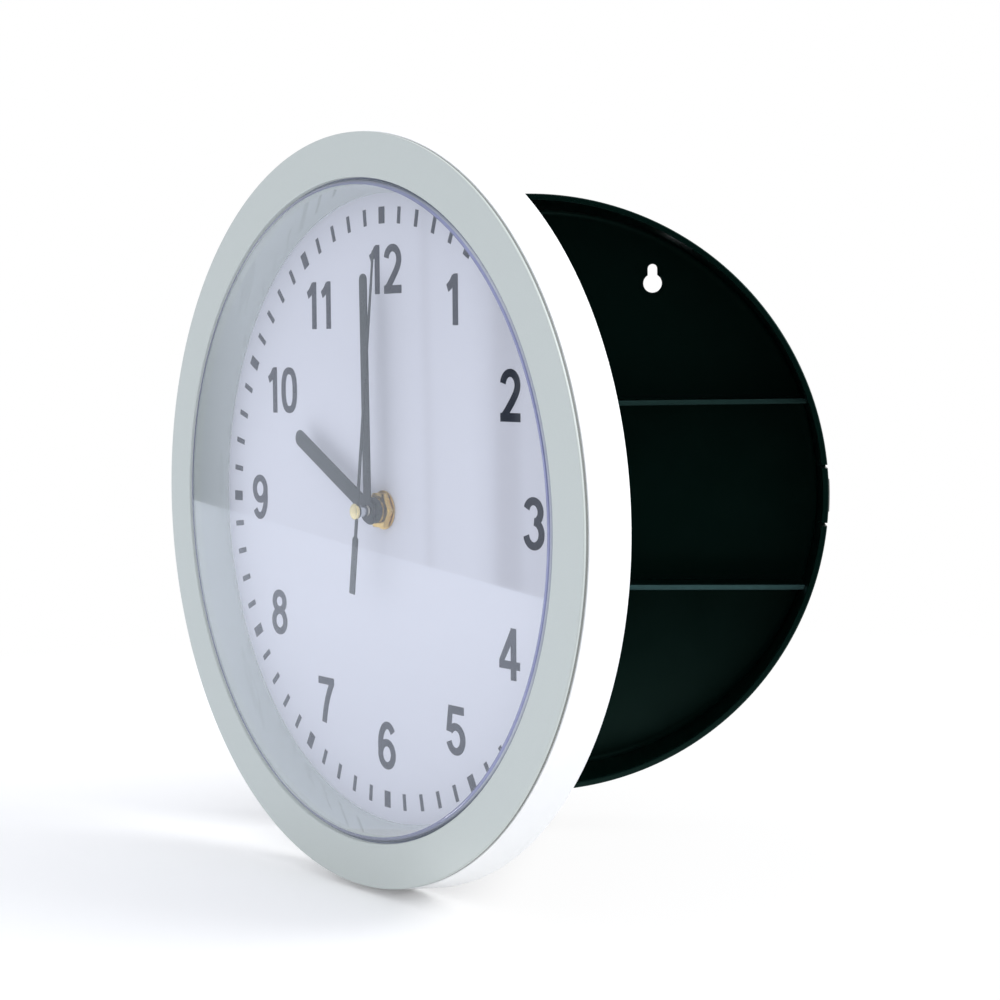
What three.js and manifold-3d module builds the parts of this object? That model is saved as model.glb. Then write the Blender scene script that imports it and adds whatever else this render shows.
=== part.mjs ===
// Wall clock diversion safe: a round tray that hangs on the wall, closed by a clock that swings on a hinge.
// Millimetres. The origin is the centre of the tray's flat back, where it meets the wall.
// +X is to the right, +Z up, and the clock faces -Y. It is built with the clock swung open, as it stands in use.
import * as THREE from "three";
import { mergeVertices } from "three/addons/utils/BufferGeometryUtils.js";
import Module from "manifold-3d";

const wasm = await Module();
wasm.setup();

// Whole object
const openAngle = THREE.MathUtils.degToRad(46.19); // how far the clock stands open
const clearance = 0.3; // between pieces that touch or run in each other
const overrun = 1; // how far a cutter runs past a face
const joinDepth = 0.6; // how far a rib or boss sinks into the wall that carries it
const ringSides = 64; // facets round a large ring
const smallSides = 18; // facets round a shaft or a screw
const cornerSteps = 2; // facets along a rounded corner
const nutSides = 6;
const weldTolerance = 1e-4; // points nearer than this are one

// Lens: the radius inside its skirt, at the dial, sets the size of the clock and of the tray behind it
const lensWindowRadius = 105.9;
const lensFlare = 2; // how much wider its flat front is
const lensThickness = 2;
const lensBorderGap = 0.4; // seen between the lens and the bezel
const lensFlangeLap = 2.7; // how far the flange runs under the bezel
const lensFlangeThickness = 1.5;
const skirtThickness = 1.2;
const skirtDraft = 1.4;

// Bezel and case ring
const bezelWidth = 14.8;
const bezelThickness = 2;
const bezelEdgeRadius = 0.8;
const bezelEdgeDepth = 1.6;
const bezelLipRadius = 0.5;
const bezelSkirtThickness = 1.6;
const bezelSkirtDepth = 6;
const lensRibThickness = 1.2;
const lensRibProud = 0.2; // how far the rib stands past the lens's flange
const caseFlare = 1.9; // how much wider the case is at its rear edge
const caseWall = 2;
const caseEdgeRadius = 0.5;
const ledgeThickness = 1.5;

// Dial and back plate
const dialThickness = 0.8;
const plateThickness = 1.8;
const plateStep = 2.04; // how far the plate's centre stands behind its rim
const plateWall = 0.9; // between the dial's recess and the step that enters the tray
const plateStepChamfer = 0.6;
const plateEdgeGap = 0.5;
const movementRibHeight = 2.4;
const movementRibThickness = 1.4;
const catchThickness = 2;
const catchDepth = 3.5; // how far the catch reaches behind the tray's rim
const catchWidth = 18;

// Case screws
const screwCount = 4;
const bossRadius = 3.2;
const screwShankRadius = 1.3;
const screwShankLength = 8;
const screwTipGap = 2.4; // left in the hole before the tip
const screwHeadRadius = 2.8;
const screwHeadHeight = 1.6;
const screwSlotWidth = 0.9;
const screwSlotDepth = 0.8;

// Tray
const mouthGap = 1; // between the clock's step and the tray's mouth
const rimThickness = 2.3;
const trayDepth = 36;
const trayDraft = 1.3; // how much the wall leans in from front to back
const floorThickness = 2;
const trayOuterCorner = 4;
const trayInnerCorner = 3;
const fittingsDrop = 1.1; // latch and keyholes sit this much below the axis

// Keyhole slots that take the wall screws
const keyholeAngle = THREE.MathUtils.degToRad(29.8); // either side of the vertical
const keyholeInset = 15.7; // from the tray's inner wall to the middle of the wide end
const keyholeHeadRadius = 3.6;
const keyholeNeckRadius = 1.85;
const keyholeRise = 5.55; // from the wide end up to the end of the neck

// Shelves
const shelfPitch = 69.7; // between the two shelves
const shelfDrop = 1.4; // from the axis down to the middle between them
const shelfFront = 14; // how far the front edge stands back from the rim
const shelfFrontThickness = 1.9;
const shelfRootThickness = 2.6;

// Spring tongue of the latch
const tongueWidth = 21.3;
const slitWidth = 1.2;
const slitLength = 14;
const bumpHeight = 0.35;
const bumpWidth = 12;
const bumpLength = 2;
const bumpSetBack = 1.4; // from the rim to the bump

// Hinge
const hingeOut = 1.9; // axis outside the tray's wall
const knuckleRadius = 2.4;
const knuckleSetBack = 0.15; // from the tray's rim to the front of the knuckles
const pinRadius = 1;
const doorKnuckleLength = 16;
const trayKnuckleLength = 11.7;
const pinHeadRadius = 1.9;
const pinHeadLength = 1;

// Battery and quartz movement, which is as large as its battery needs
const batteryRadius = 7.1;
const batteryBodyLength = 49;
const batteryNubRadius = 2.6;
const batteryNubLength = 1.2;
const batteryEdge = 0.7;
const batteryProud = 0.7; // how far it stands out of its bay
const contactThickness = 0.5;
const contactWidth = 7;
const contactBow = 0.6;
const movementWall = 1.2;
const movementCorner = 3;
const coverThickness = 1.5;
const boardThickness = 1;
const boardInset = 7; // above the wall of the bay
const boardGap = 2.5; // beside the wheels
const coilLength = 20;
const coilRadius = 3.2;
const coilFlangeRadius = 3.9;
const coilFlangeThickness = 1;
const coilInset = 1.2;
const knobRadius = 6.5;
const knobHeight = 2.2;
const knobShaftRadius = 1.8;
const knobFlutes = 18;
const knobFluteDepth = 0.5;

// Three nested shafts, with their wheels, and the bush they run in
const secondArborRadius = 0.55;
const minutePipeWall = 0.75;
const hourPipeWall = 0.7;
const bushWall = 1.1;
const bushProud = 0.4; // past the nut
const bushFlangeWidth = 1.5;
const bushFlangeThickness = 0.8;
const nutWidth = 2.6; // from the thread to a corner
const nutThickness = 2;
const washerThickness = 0.4;
const secondWheelRadius = 10;
const wheelThickness = 1;
const wheelStepDown = 1; // each wheel in front is this much smaller
const wheelTeeth = 24;
const toothDepth = 0.7;

// Hands, stacked in front of the bush
const handThickness = 0.5;
const hourCollarLength = 1.9;
const hourCollarGap = 0.35; // in front of the bush
const hourTipInset = 54.3; // from the dial's edge to the hand's tip
const hourHandWidth = 5.8;
const hourHandAngle = THREE.MathUtils.degToRad(298.2);
const hourBossRadius = 4.7;
const handGap = 0.5; // between the hour hand and the minute hand
const minuteTipInset = 28;
const minuteHandWidth = 4.3;
const minuteHandAngle = THREE.MathUtils.degToRad(-0.2);
const minuteBossRadius = 4;
const secondTubeLength = 2.75;
const secondTubeRadius = 1.9;
const secondHandThickness = 0.4;
const secondTipInset = 20.1;
const secondHandWidth = 1.5; // at the hub
const secondTipWidth = 0.9;
const secondTailLength = 28.2;
const secondTailWidth = 3.2;
const secondTailStart = 8.6;
const secondBossRadius = 2.4;
const secondHandAngle = THREE.MathUtils.degToRad(8.2);
const secondCapRadius = 2.7;
const secondCapHeight = 0.9;
const secondCapRoof = 0.4;
const lensGap = 0.9; // between the second hand's cap and the lens

// Radii that follow from the lens
const boreOf = (shaftRadius) => shaftRadius + clearance;
const lensCornerRadius = bezelThickness;
const lensFlatRadius = lensWindowRadius + lensFlare;
const lensOuterRadius = lensFlatRadius + lensCornerRadius;
const dialRadius = lensWindowRadius + skirtThickness;
const recessRadius = dialRadius + clearance;
const stepRadius = recessRadius + plateWall;
const trayInnerRim = stepRadius + mouthGap;
const trayRadius = trayInnerRim + rimThickness; // outside, at the front rim
const innerWallRadius = trayInnerRim - trayDraft; // at the floor
const bezelInnerRadius = lensOuterRadius + lensBorderGap;
const lensFlangeRadius = bezelInnerRadius + lensFlangeLap;
const bezelRadius = bezelInnerRadius + bezelWidth;
const caseRadius = bezelRadius + caseFlare; // at the rear edge, the widest place

// Radii that follow from the second arbor
const minutePipeRadius = boreOf(secondArborRadius) + minutePipeWall;
const hourPipeRadius = boreOf(minutePipeRadius) + hourPipeWall;
const bushRadius = boreOf(hourPipeRadius) + bushWall;
const nutRadius = bushRadius + nutWidth; // across corners
const washerRadius = nutRadius;

// Heights in front of the dial's face
const nutFoot = 2 * clearance + washerThickness;
const bushEnd = nutFoot + nutThickness + bushProud;
const hourHandHeight = bushEnd + hourCollarGap + hourCollarLength;
const minuteHandHeight = hourHandHeight + handThickness + handGap;
const minutePipeHeight = minuteHandHeight + handThickness + clearance;
const secondTubeFoot = minutePipeHeight + clearance;
const secondHandHeight = secondTubeFoot + secondTubeLength + clearance;
const secondCapFoot = secondHandHeight + secondHandThickness + clearance;
const secondCapEnd = secondCapFoot + secondCapHeight;

// Depths behind the plane of the clock's front rim
const dialDepth = lensThickness + lensGap + secondCapEnd;
const rimFaceDepth = dialDepth + dialThickness + clearance - plateStep; // front of the plate's rim
const clockDepth = rimFaceDepth + plateThickness + clearance;

// Places along Y, with the safe shut
const rimPlane = -trayDepth;
const floorFace = -floorThickness;
const clockRear = rimPlane - clearance;
const clockFront = clockRear - clockDepth;
const atDepth = (depth) => clockFront + depth;
const dialFace = atDepth(dialDepth);
const aboveDial = (height) => dialFace - height;
const dialBack = dialFace + dialThickness;
const plateFront = dialBack + clearance;
const plateBack = plateFront + plateThickness;
const rimBack = clockRear - clearance;
const movementDepth = movementWall + clearance + 2 * batteryRadius - batteryProud;
const movementFront = plateBack + clearance;
const movementBack = movementFront + movementDepth;
const movementFloor = movementFront + movementWall;
const hingeX = -(trayRadius + hingeOut);
const hingeY = rimPlane + knuckleSetBack + knuckleRadius;

// The movement's plan, seen from behind
const batteryLength = batteryBodyLength + batteryNubLength;
const tubHalf = batteryLength / 2 + 2 * clearance + contactBow + contactThickness;
const chamberFloorZ = -(secondWheelRadius + 2 * clearance);
const bayRoofZ = chamberFloorZ - movementWall;
const bayFloorZ = bayRoofZ - 2 * (batteryRadius + clearance);
const tubTopZ = -bayFloorZ;
const movementWidth = 2 * (tubHalf + movementWall);
const movementHeight = 2 * (tubTopZ + movementWall);

// Colours
const finishes = {
  trayBlack: { color: 0x0b1512, roughness: 0.35, metalness: 0 },
  silverLacquer: { color: 0xc3cbca, roughness: 0.4, metalness: 0.2 },
  caseWhite: { color: 0xf4f6f7, roughness: 0.3, metalness: 0 },
  clearPlastic: { color: 0xe6e9f5, roughness: 0.05, metalness: 0, transparent: true, opacity: 0.3 },
  dialWhite: { color: 0xdfe2ee, roughness: 0.6, metalness: 0 },
  handBlack: { color: 0x2a2e32, roughness: 0.5, metalness: 0.2 },
  brass: { color: 0xc9a86a, roughness: 0.3, metalness: 1 },
  steel: { color: 0xb4b8ba, roughness: 0.35, metalness: 1 },
  movementBlack: { color: 0x17181a, roughness: 0.55, metalness: 0 },
  nylonWhite: { color: 0xe8e6dc, roughness: 0.5, metalness: 0 },
  boardGreen: { color: 0x2f6b45, roughness: 0.5, metalness: 0 },
  copper: { color: 0xb26a3c, roughness: 0.4, metalness: 1 },
  batteryJacket: { color: 0x31363c, roughness: 0.4, metalness: 0.3 },
};

// Solids: each helper returns a manifold-3d solid
function solidFrom(geometry) {
  const bare = geometry.clone();
  bare.deleteAttribute("normal");
  bare.deleteAttribute("uv");
  const merged = mergeVertices(bare, weldTolerance);
  const source = merged.index.array;
  const corners = [];
  for (let i = 0; i < source.length; i += 3) {
    const [a, b, c] = [source[i], source[i + 1], source[i + 2]];
    if (a !== b && b !== c && c !== a) corners.push(a, b, c);
  }
  const place = merged.attributes.position.array;
  if (signedVolume(place, corners) < 0) {
    for (let i = 0; i < corners.length; i += 3) {
      [corners[i + 1], corners[i + 2]] = [corners[i + 2], corners[i + 1]];
    }
  }
  return new wasm.Manifold(
    new wasm.Mesh({ numProp: 3, vertProperties: new Float32Array(place), triVerts: new Uint32Array(corners) }),
  );
}

function signedVolume(place, corners) {
  const [a, b, c] = [new THREE.Vector3(), new THREE.Vector3(), new THREE.Vector3()];
  let sum = 0;
  for (let i = 0; i < corners.length; i += 3) {
    a.fromArray(place, corners[i] * 3);
    b.fromArray(place, corners[i + 1] * 3);
    c.fromArray(place, corners[i + 2] * 3);
    sum += a.dot(b.cross(c));
  }
  return sum;
}

function join(...solids) {
  return solids.reduce((sum, next) => sum.add(next));
}

function cut(solid, ...cutters) {
  return cutters.reduce((rest, next) => rest.subtract(next), solid);
}

// A profile of [radius, y] points turned about the clock's axis, which is the Y axis.
function turned(profile, sides = ringSides) {
  const closed = [...profile, profile[0]].map(([radius, y]) => new THREE.Vector2(radius, y));
  return solidFrom(new THREE.LatheGeometry(closed, sides));
}

// A flat outline in the X-Z plane, from its back face at `back` forward by `thickness`.
function plate(shape, back, thickness) {
  const geometry = new THREE.ExtrudeGeometry(shape, {
    depth: thickness,
    bevelEnabled: false,
    curveSegments: smallSides / 2,
  });
  geometry.rotateX(Math.PI / 2);
  geometry.translate(0, back, 0);
  return solidFrom(geometry);
}

// A round bar along Y from `front` to `back`.
function bar(radius, front, back, x = 0, z = 0, sides = smallSides) {
  const geometry = new THREE.CylinderGeometry(radius, radius, back - front, sides);
  geometry.translate(x, (front + back) / 2, z);
  return solidFrom(geometry);
}

// A round bar along Z.
function upright(radius, low, high, x, y, sides = smallSides) {
  const geometry = new THREE.CylinderGeometry(radius, radius, high - low, sides);
  geometry.rotateX(Math.PI / 2);
  geometry.translate(x, y, (low + high) / 2);
  return solidFrom(geometry);
}

function block(x0, x1, y0, y1, z0, z1) {
  const geometry = new THREE.BoxGeometry(x1 - x0, y1 - y0, z1 - z0);
  geometry.translate((x0 + x1) / 2, (y0 + y1) / 2, (z0 + z1) / 2);
  return solidFrom(geometry);
}

// Points of a rounded corner about [r, y], between two angles in quarter turns.
function corner(r, y, radius, fromQuarter, toQuarter, steps = cornerSteps) {
  const points = [];
  for (let i = 0; i <= steps; i += 1) {
    const angle = (Math.PI / 2) * (fromQuarter + ((toQuarter - fromQuarter) * i) / steps);
    points.push([r + radius * Math.cos(angle), y + radius * Math.sin(angle)]);
  }
  return points;
}

function roundedPanel(width, height, radius) {
  const [x, y] = [width / 2, height / 2];
  const shape = new THREE.Shape();
  shape.moveTo(-x + radius, -y);
  shape.lineTo(x - radius, -y);
  shape.absarc(x - radius, -y + radius, radius, -Math.PI / 2, 0);
  shape.lineTo(x, y - radius);
  shape.absarc(x - radius, y - radius, radius, 0, Math.PI / 2);
  shape.lineTo(-x + radius, y);
  shape.absarc(-x + radius, y - radius, radius, Math.PI / 2, Math.PI);
  shape.lineTo(-x, -y + radius);
  shape.absarc(-x + radius, -y + radius, radius, Math.PI, (3 * Math.PI) / 2);
  return shape;
}

function meshOf(name, solid, finish) {
  const made = solid.getMesh();
  const geometry = new THREE.BufferGeometry();
  geometry.setAttribute("position", new THREE.BufferAttribute(new Float32Array(made.vertProperties), 3));
  geometry.setIndex(new THREE.BufferAttribute(new Uint32Array(made.triVerts), 1));
  geometry.computeVertexNormals();
  const mesh = new THREE.Mesh(geometry, new THREE.MeshStandardMaterial(finishes[finish]));
  mesh.name = name;
  return mesh;
}

// Tray: a drafted dish with rounded corners, keyhole slots, two shelves, a spring tongue and hinge knuckles
function keyhole(side) {
  const reach = innerWallRadius - keyholeInset;
  const x = side * reach * Math.sin(keyholeAngle);
  const z = reach * Math.cos(keyholeAngle) - fittingsDrop;
  const head = bar(keyholeHeadRadius, floorFace - overrun, overrun, x, z);
  const neckEnd = bar(keyholeNeckRadius, floorFace - overrun, overrun, x, z + keyholeRise);
  const neck = block(
    x - keyholeNeckRadius,
    x + keyholeNeckRadius,
    floorFace - overrun,
    overrun,
    z,
    z + keyholeRise,
  );
  return join(head, neckEnd, neck);
}

function tongueSlit(side) {
  const z = -fittingsDrop + (side * tongueWidth) / 2;
  return block(
    trayInnerRim - trayDraft - overrun,
    trayRadius + overrun,
    rimPlane - overrun,
    rimPlane + slitLength,
    z - slitWidth / 2,
    z + slitWidth / 2,
  );
}

// The bump on the tongue that snaps behind the clock's catch: a low wedge on the outer face.
function tongueBump() {
  const wallRadius = trayRadius - trayDraft;
  const y = rimPlane + bumpSetBack;
  const ring = turned([
    [wallRadius, y],
    [trayRadius, y],
    [trayRadius + bumpHeight, y + bumpLength / 2],
    [trayRadius, y + bumpLength],
    [wallRadius, y + bumpLength],
  ]);
  const window = block(
    0,
    trayRadius + bumpHeight + overrun,
    y - overrun,
    y + bumpLength + overrun,
    -fittingsDrop - bumpWidth / 2,
    -fittingsDrop + bumpWidth / 2,
  );
  return ring.intersect(window);
}

// A shelf is a tapered plate, thicker at its root, whose ends run into the tray's wall and floor.
function shelfPlate(side) {
  const z = -shelfDrop + (side * shelfPitch) / 2;
  const [front, back] = [rimPlane + shelfFront, floorFace + joinDepth];
  const section = new THREE.Shape([
    new THREE.Vector2(front, -shelfFrontThickness / 2),
    new THREE.Vector2(back, -shelfRootThickness / 2),
    new THREE.Vector2(back, shelfRootThickness / 2),
    new THREE.Vector2(front, shelfFrontThickness / 2),
  ]);
  const geometry = new THREE.ExtrudeGeometry(section, { depth: 2 * trayRadius, bevelEnabled: false });
  geometry.translate(0, 0, -trayRadius);
  // The section's x runs along Y, its y along Z, and its depth along X.
  geometry.applyMatrix4(new THREE.Matrix4().makeBasis(
    new THREE.Vector3(0, 1, 0),
    new THREE.Vector3(0, 0, 1),
    new THREE.Vector3(1, 0, 0),
  ));
  geometry.translate(0, 0, z);
  const space = turned([
    [0, rimPlane],
    [0, floorFace + joinDepth],
    [innerWallRadius + joinDepth, floorFace + joinDepth],
    [trayInnerRim + joinDepth, rimPlane],
  ]);
  return solidFrom(geometry).intersect(space);
}

function trayKnuckle(side) {
  const near = side * (doorKnuckleLength / 2 + clearance);
  const far = near + side * trayKnuckleLength;
  const [low, high] = [Math.min(near, far), Math.max(near, far)];
  const barrel = upright(knuckleRadius, low, high, hingeX, hingeY);
  const web = block(hingeX, -innerWallRadius, hingeY - knuckleRadius, hingeY + knuckleRadius, low, high);
  return join(barrel, web);
}

function makeTray() {
  const outside = turned([
    [0, 0],
    [0, rimPlane],
    [trayRadius, rimPlane],
    ...corner(trayRadius - trayDraft - trayOuterCorner, -trayOuterCorner, trayOuterCorner, 0, 1),
  ]);
  const hollow = turned([
    [0, rimPlane - overrun],
    [0, floorFace],
    ...corner(innerWallRadius - trayInnerCorner, floorFace - trayInnerCorner, trayInnerCorner, 1, 0),
    [trayInnerRim, rimPlane],
    [trayInnerRim, rimPlane - overrun],
  ]);
  const knuckleHalf = doorKnuckleLength / 2 + clearance;
  const pocket = upright(boreOf(knuckleRadius), -knuckleHalf, knuckleHalf, hingeX, hingeY);
  const holeReach = knuckleHalf + trayKnuckleLength + overrun;
  const pinHole = upright(boreOf(pinRadius), -holeReach, holeReach, hingeX, hingeY);
  const shell = join(cut(outside, pocket), tongueBump(), trayKnuckle(1), trayKnuckle(-1));
  return cut(
    join(cut(shell, hollow), shelfPlate(1), shelfPlate(-1)),
    pinHole,
    tongueSlit(1),
    tongueSlit(-1),
    keyhole(1),
    keyhole(-1),
  );
}

function makeHingePin() {
  const reach = doorKnuckleLength / 2 + clearance + trayKnuckleLength;
  const shank = upright(pinRadius, -reach - clearance, reach + clearance, hingeX, hingeY);
  const headLow = reach + clearance;
  return join(shank, upright(pinHeadRadius, headLow, headLow + pinHeadLength, hingeX, hingeY));
}

// Bezel: a flat ring with a rounded edge, a skirt that enters the case, a rib round the lens and screw bosses
const bezelSkirtOuter = caseInnerAt(bezelEdgeDepth) - clearance;
const bezelSkirtInner = bezelSkirtOuter - bezelSkirtThickness;
const lensRibInner = lensFlangeRadius + clearance;
const lensRibOuter = lensRibInner + lensRibThickness;
const screwCircle = (lensRibOuter + bezelSkirtInner) / 2;
const screwHeadFront = rimBack + clearance;
const screwTip = screwHeadFront - screwShankLength;

function screwPlaces() {
  const places = [];
  for (let i = 0; i < screwCount; i += 1) {
    const angle = ((i + 0.5) * 2 * Math.PI) / screwCount;
    places.push([screwCircle * Math.cos(angle), screwCircle * Math.sin(angle)]);
  }
  return places;
}

function makeBezel() {
  const under = atDepth(bezelThickness);
  const ribEnd = under + clearance + lensFlangeThickness + lensRibProud;
  const ring = turned([
    ...corner(bezelInnerRadius + bezelLipRadius, atDepth(bezelLipRadius), bezelLipRadius, 2, 3),
    ...corner(bezelRadius - bezelEdgeRadius, atDepth(bezelEdgeRadius), bezelEdgeRadius, 3, 4),
    [bezelRadius, atDepth(bezelEdgeDepth)],
    [bezelSkirtOuter, atDepth(bezelEdgeDepth)],
    [bezelSkirtOuter, atDepth(bezelSkirtDepth)],
    [bezelSkirtInner, atDepth(bezelSkirtDepth)],
    [bezelSkirtInner, under],
    [lensRibOuter, under],
    [lensRibOuter, ribEnd],
    [lensRibInner, ribEnd],
    [lensRibInner, under],
    [bezelInnerRadius, under],
  ]);
  const bossEnd = atDepth(rimFaceDepth) - clearance;
  const bosses = screwPlaces().map(([x, z]) => bar(bossRadius, under - joinDepth, bossEnd, x, z));
  const holes = screwPlaces().map(([x, z]) =>
    bar(boreOf(screwShankRadius), screwTip - screwTipGap, bossEnd + overrun, x, z),
  );
  return cut(join(ring, ...bosses), ...holes);
}

// Case ring: a wall that widens towards the back, with a ledge for the back plate
function caseOuterAt(depth) {
  return bezelRadius + ((caseRadius - bezelRadius) * depth) / clockDepth;
}

function caseInnerAt(depth) {
  return caseOuterAt(depth) - caseWall;
}

function makeCaseRing() {
  const frontDepth = bezelEdgeDepth + clearance;
  const ledgeBack = rimFaceDepth - clearance;
  const ledgeFront = ledgeBack - ledgeThickness;
  const ledgeRadius = bezelSkirtInner + clearance;
  return turned([
    [caseInnerAt(frontDepth), atDepth(frontDepth)],
    [caseOuterAt(frontDepth), atDepth(frontDepth)],
    ...corner(caseRadius - caseEdgeRadius, atDepth(clockDepth - caseEdgeRadius), caseEdgeRadius, 0, 1),
    [caseInnerAt(clockDepth), atDepth(clockDepth)],
    [caseInnerAt(ledgeBack), atDepth(ledgeBack)],
    [ledgeRadius, atDepth(ledgeBack)],
    [ledgeRadius, atDepth(ledgeFront)],
    [caseInnerAt(ledgeFront), atDepth(ledgeFront)],
  ]);
}

// Lens: a moulded cup, with a flat front, a rounded edge, a flange under the bezel and a skirt down to the dial
function makeLens() {
  const flangeFront = atDepth(bezelThickness + clearance);
  const flangeBack = flangeFront + lensFlangeThickness;
  const skirtEnd = dialFace - clearance;
  const skirtRoot = lensWindowRadius + skirtDraft;
  return turned([
    [0, atDepth(lensThickness)],
    [0, clockFront],
    ...corner(lensFlatRadius, atDepth(lensCornerRadius), lensCornerRadius, 3, 4),
    [lensOuterRadius, flangeFront],
    [lensFlangeRadius, flangeFront],
    [lensFlangeRadius, flangeBack],
    [skirtRoot + skirtThickness, flangeBack],
    [dialRadius, skirtEnd],
    [lensWindowRadius, skirtEnd],
    [skirtRoot, flangeBack],
    [lensFlatRadius - lensCornerRadius / 2, atDepth(lensThickness)],
  ]);
}

function makeDial() {
  const disc = bar(dialRadius, dialFace, dialBack, 0, 0, ringSides);
  return cut(disc, bar(boreOf(bushRadius), dialFace - overrun, dialBack + overrun));
}

// Back plate: the clock's floor, stepped to enter the tray, with the hinge knuckle, catch and movement rib
function arcBand(innerRadius, outerRadius, halfWidth) {
  const spread = Math.asin(halfWidth / outerRadius);
  const tilt = -Math.asin(fittingsDrop / outerRadius);
  const shape = new THREE.Shape();
  shape.absarc(0, 0, outerRadius, tilt - spread, tilt + spread, false);
  shape.absarc(0, 0, innerRadius, tilt + spread, tilt - spread, true);
  return shape;
}

function makeBackPlate() {
  const rimOuter = caseInnerAt(rimFaceDepth) - plateEdgeGap;
  const rimFront = atDepth(rimFaceDepth);
  const disc = turned([
    [0, plateFront],
    [recessRadius, plateFront],
    [recessRadius, rimFront],
    [rimOuter, rimFront],
    [rimOuter, rimBack],
    [stepRadius, rimBack],
    [stepRadius, plateBack - plateStepChamfer],
    [stepRadius - plateStepChamfer, plateBack],
    [0, plateBack],
  ]);
  const catchInner = trayRadius + bumpHeight + clearance;
  const catchBack = rimPlane + catchDepth;
  const lip = plate(
    arcBand(catchInner, catchInner + catchThickness, catchWidth / 2),
    catchBack,
    catchBack - rimBack + joinDepth,
  );
  const half = doorKnuckleLength / 2;
  const knuckle = upright(knuckleRadius, -half, half, hingeX, hingeY);
  const webReach = hingeOut - clearance;
  const web = block(hingeX - knuckleRadius, hingeX + webReach, rimBack - joinDepth, hingeY, -half, half);
  const pocketWidth = movementWidth + 2 * clearance;
  const pocketHeight = movementHeight + 2 * clearance;
  const ribWidth = pocketWidth + 2 * movementRibThickness;
  const ribHeight = pocketHeight + 2 * movementRibThickness;
  const rib = plate(
    roundedPanel(ribWidth, ribHeight, movementCorner + movementRibThickness),
    plateBack + movementRibHeight,
    movementRibHeight + joinDepth,
  );
  const pocket = plate(
    roundedPanel(pocketWidth, pocketHeight, movementCorner),
    plateBack + movementRibHeight + overrun,
    movementRibHeight + overrun,
  );
  const bushHole = bar(boreOf(bushRadius), plateFront - overrun, plateBack + overrun);
  const pinHole = upright(boreOf(pinRadius), -half - overrun, half + overrun, hingeX, hingeY);
  const screwHoles = screwPlaces().map(([x, z]) =>
    bar(boreOf(screwShankRadius), rimFront - overrun, rimBack + overrun, x, z),
  );
  return cut(join(disc, lip, knuckle, web, cut(rib, pocket)), bushHole, pinHole, ...screwHoles);
}

function makeCaseScrew([x, z]) {
  const headBack = screwHeadFront + screwHeadHeight;
  const shank = bar(screwShankRadius, screwTip, screwHeadFront + joinDepth, x, z);
  const head = bar(screwHeadRadius, screwHeadFront, headBack, x, z);
  const slot = block(
    x - screwHeadRadius - overrun,
    x + screwHeadRadius + overrun,
    headBack - screwSlotDepth,
    headBack + overrun,
    z - screwSlotWidth / 2,
    z + screwSlotWidth / 2,
  );
  return cut(join(shank, head), slot);
}

// Quartz movement: an open tub with a battery bay below and a lidded wheel chamber above
function makeMovementCase() {
  const outline = roundedPanel(movementWidth, movementHeight, movementCorner);
  const outer = plate(outline, movementBack, movementDepth);
  const bay = block(-tubHalf, tubHalf, movementFloor, movementBack + overrun, bayFloorZ, bayRoofZ);
  const chamber = block(-tubHalf, tubHalf, movementFloor, movementBack + overrun, chamberFloorZ, tubTopZ);
  const bushHole = bar(boreOf(bushRadius), movementFront - overrun, movementFloor + overrun);
  return cut(outer, bay, chamber, bushHole);
}

function makeMovementCover() {
  const gap = clearance;
  const lid = block(
    -tubHalf + gap,
    tubHalf - gap,
    movementBack - coverThickness,
    movementBack,
    chamberFloorZ + gap,
    tubTopZ - gap,
  );
  return cut(lid, bar(boreOf(knobShaftRadius), movementBack - coverThickness - overrun, movementBack + overrun));
}

function alongX(radius, x0, x1, y, z, sides = smallSides) {
  const geometry = new THREE.CylinderGeometry(radius, radius, x1 - x0, sides);
  geometry.rotateZ(Math.PI / 2);
  geometry.translate((x0 + x1) / 2, y, z);
  return solidFrom(geometry);
}

const batteryY = movementFloor + clearance + batteryRadius;
const batteryZ = (bayFloorZ + bayRoofZ) / 2;
const batteryEndX = batteryLength / 2;

function makeBattery() {
  const shoulderX = batteryEndX - batteryNubLength;
  const profile = [
    [0, -batteryEndX],
    [batteryRadius - batteryEdge, -batteryEndX],
    [batteryRadius, -batteryEndX + batteryEdge],
    [batteryRadius, shoulderX - batteryEdge],
    [batteryRadius - batteryEdge, shoulderX],
    [batteryNubRadius, shoulderX],
    [batteryNubRadius, batteryEndX],
    [0, batteryEndX],
  ];
  const points = [...profile, profile[0]].map(([radius, x]) => new THREE.Vector2(radius, x));
  const geometry = new THREE.LatheGeometry(points, smallSides);
  geometry.rotateZ(-Math.PI / 2);
  geometry.translate(0, batteryY, batteryZ);
  return solidFrom(geometry);
}

// A bowed strip that stands between the end wall of the bay and the battery.
function makeContact(side) {
  const wallX = tubHalf - clearance;
  const low = movementFloor + clearance;
  const high = movementBack - contactThickness;
  const middle = (low + high) / 2;
  const shape = new THREE.Shape();
  shape.moveTo(wallX, low);
  shape.lineTo(wallX, high);
  shape.lineTo(wallX - contactThickness, high);
  shape.quadraticCurveTo(wallX - contactThickness - 2 * contactBow, middle, wallX - contactThickness, low);
  const geometry = new THREE.ExtrudeGeometry(shape, {
    depth: contactWidth,
    bevelEnabled: false,
    curveSegments: cornerSteps * 2,
  });
  geometry.translate(0, 0, batteryZ - contactWidth / 2);
  if (side < 0) geometry.scale(-1, 1, 1);
  return solidFrom(geometry);
}

function makeBoard() {
  const front = movementFloor + clearance;
  return block(
    secondWheelRadius + boardGap,
    tubHalf - clearance,
    front,
    front + boardThickness,
    chamberFloorZ + boardInset,
    tubTopZ - clearance,
  );
}

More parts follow.
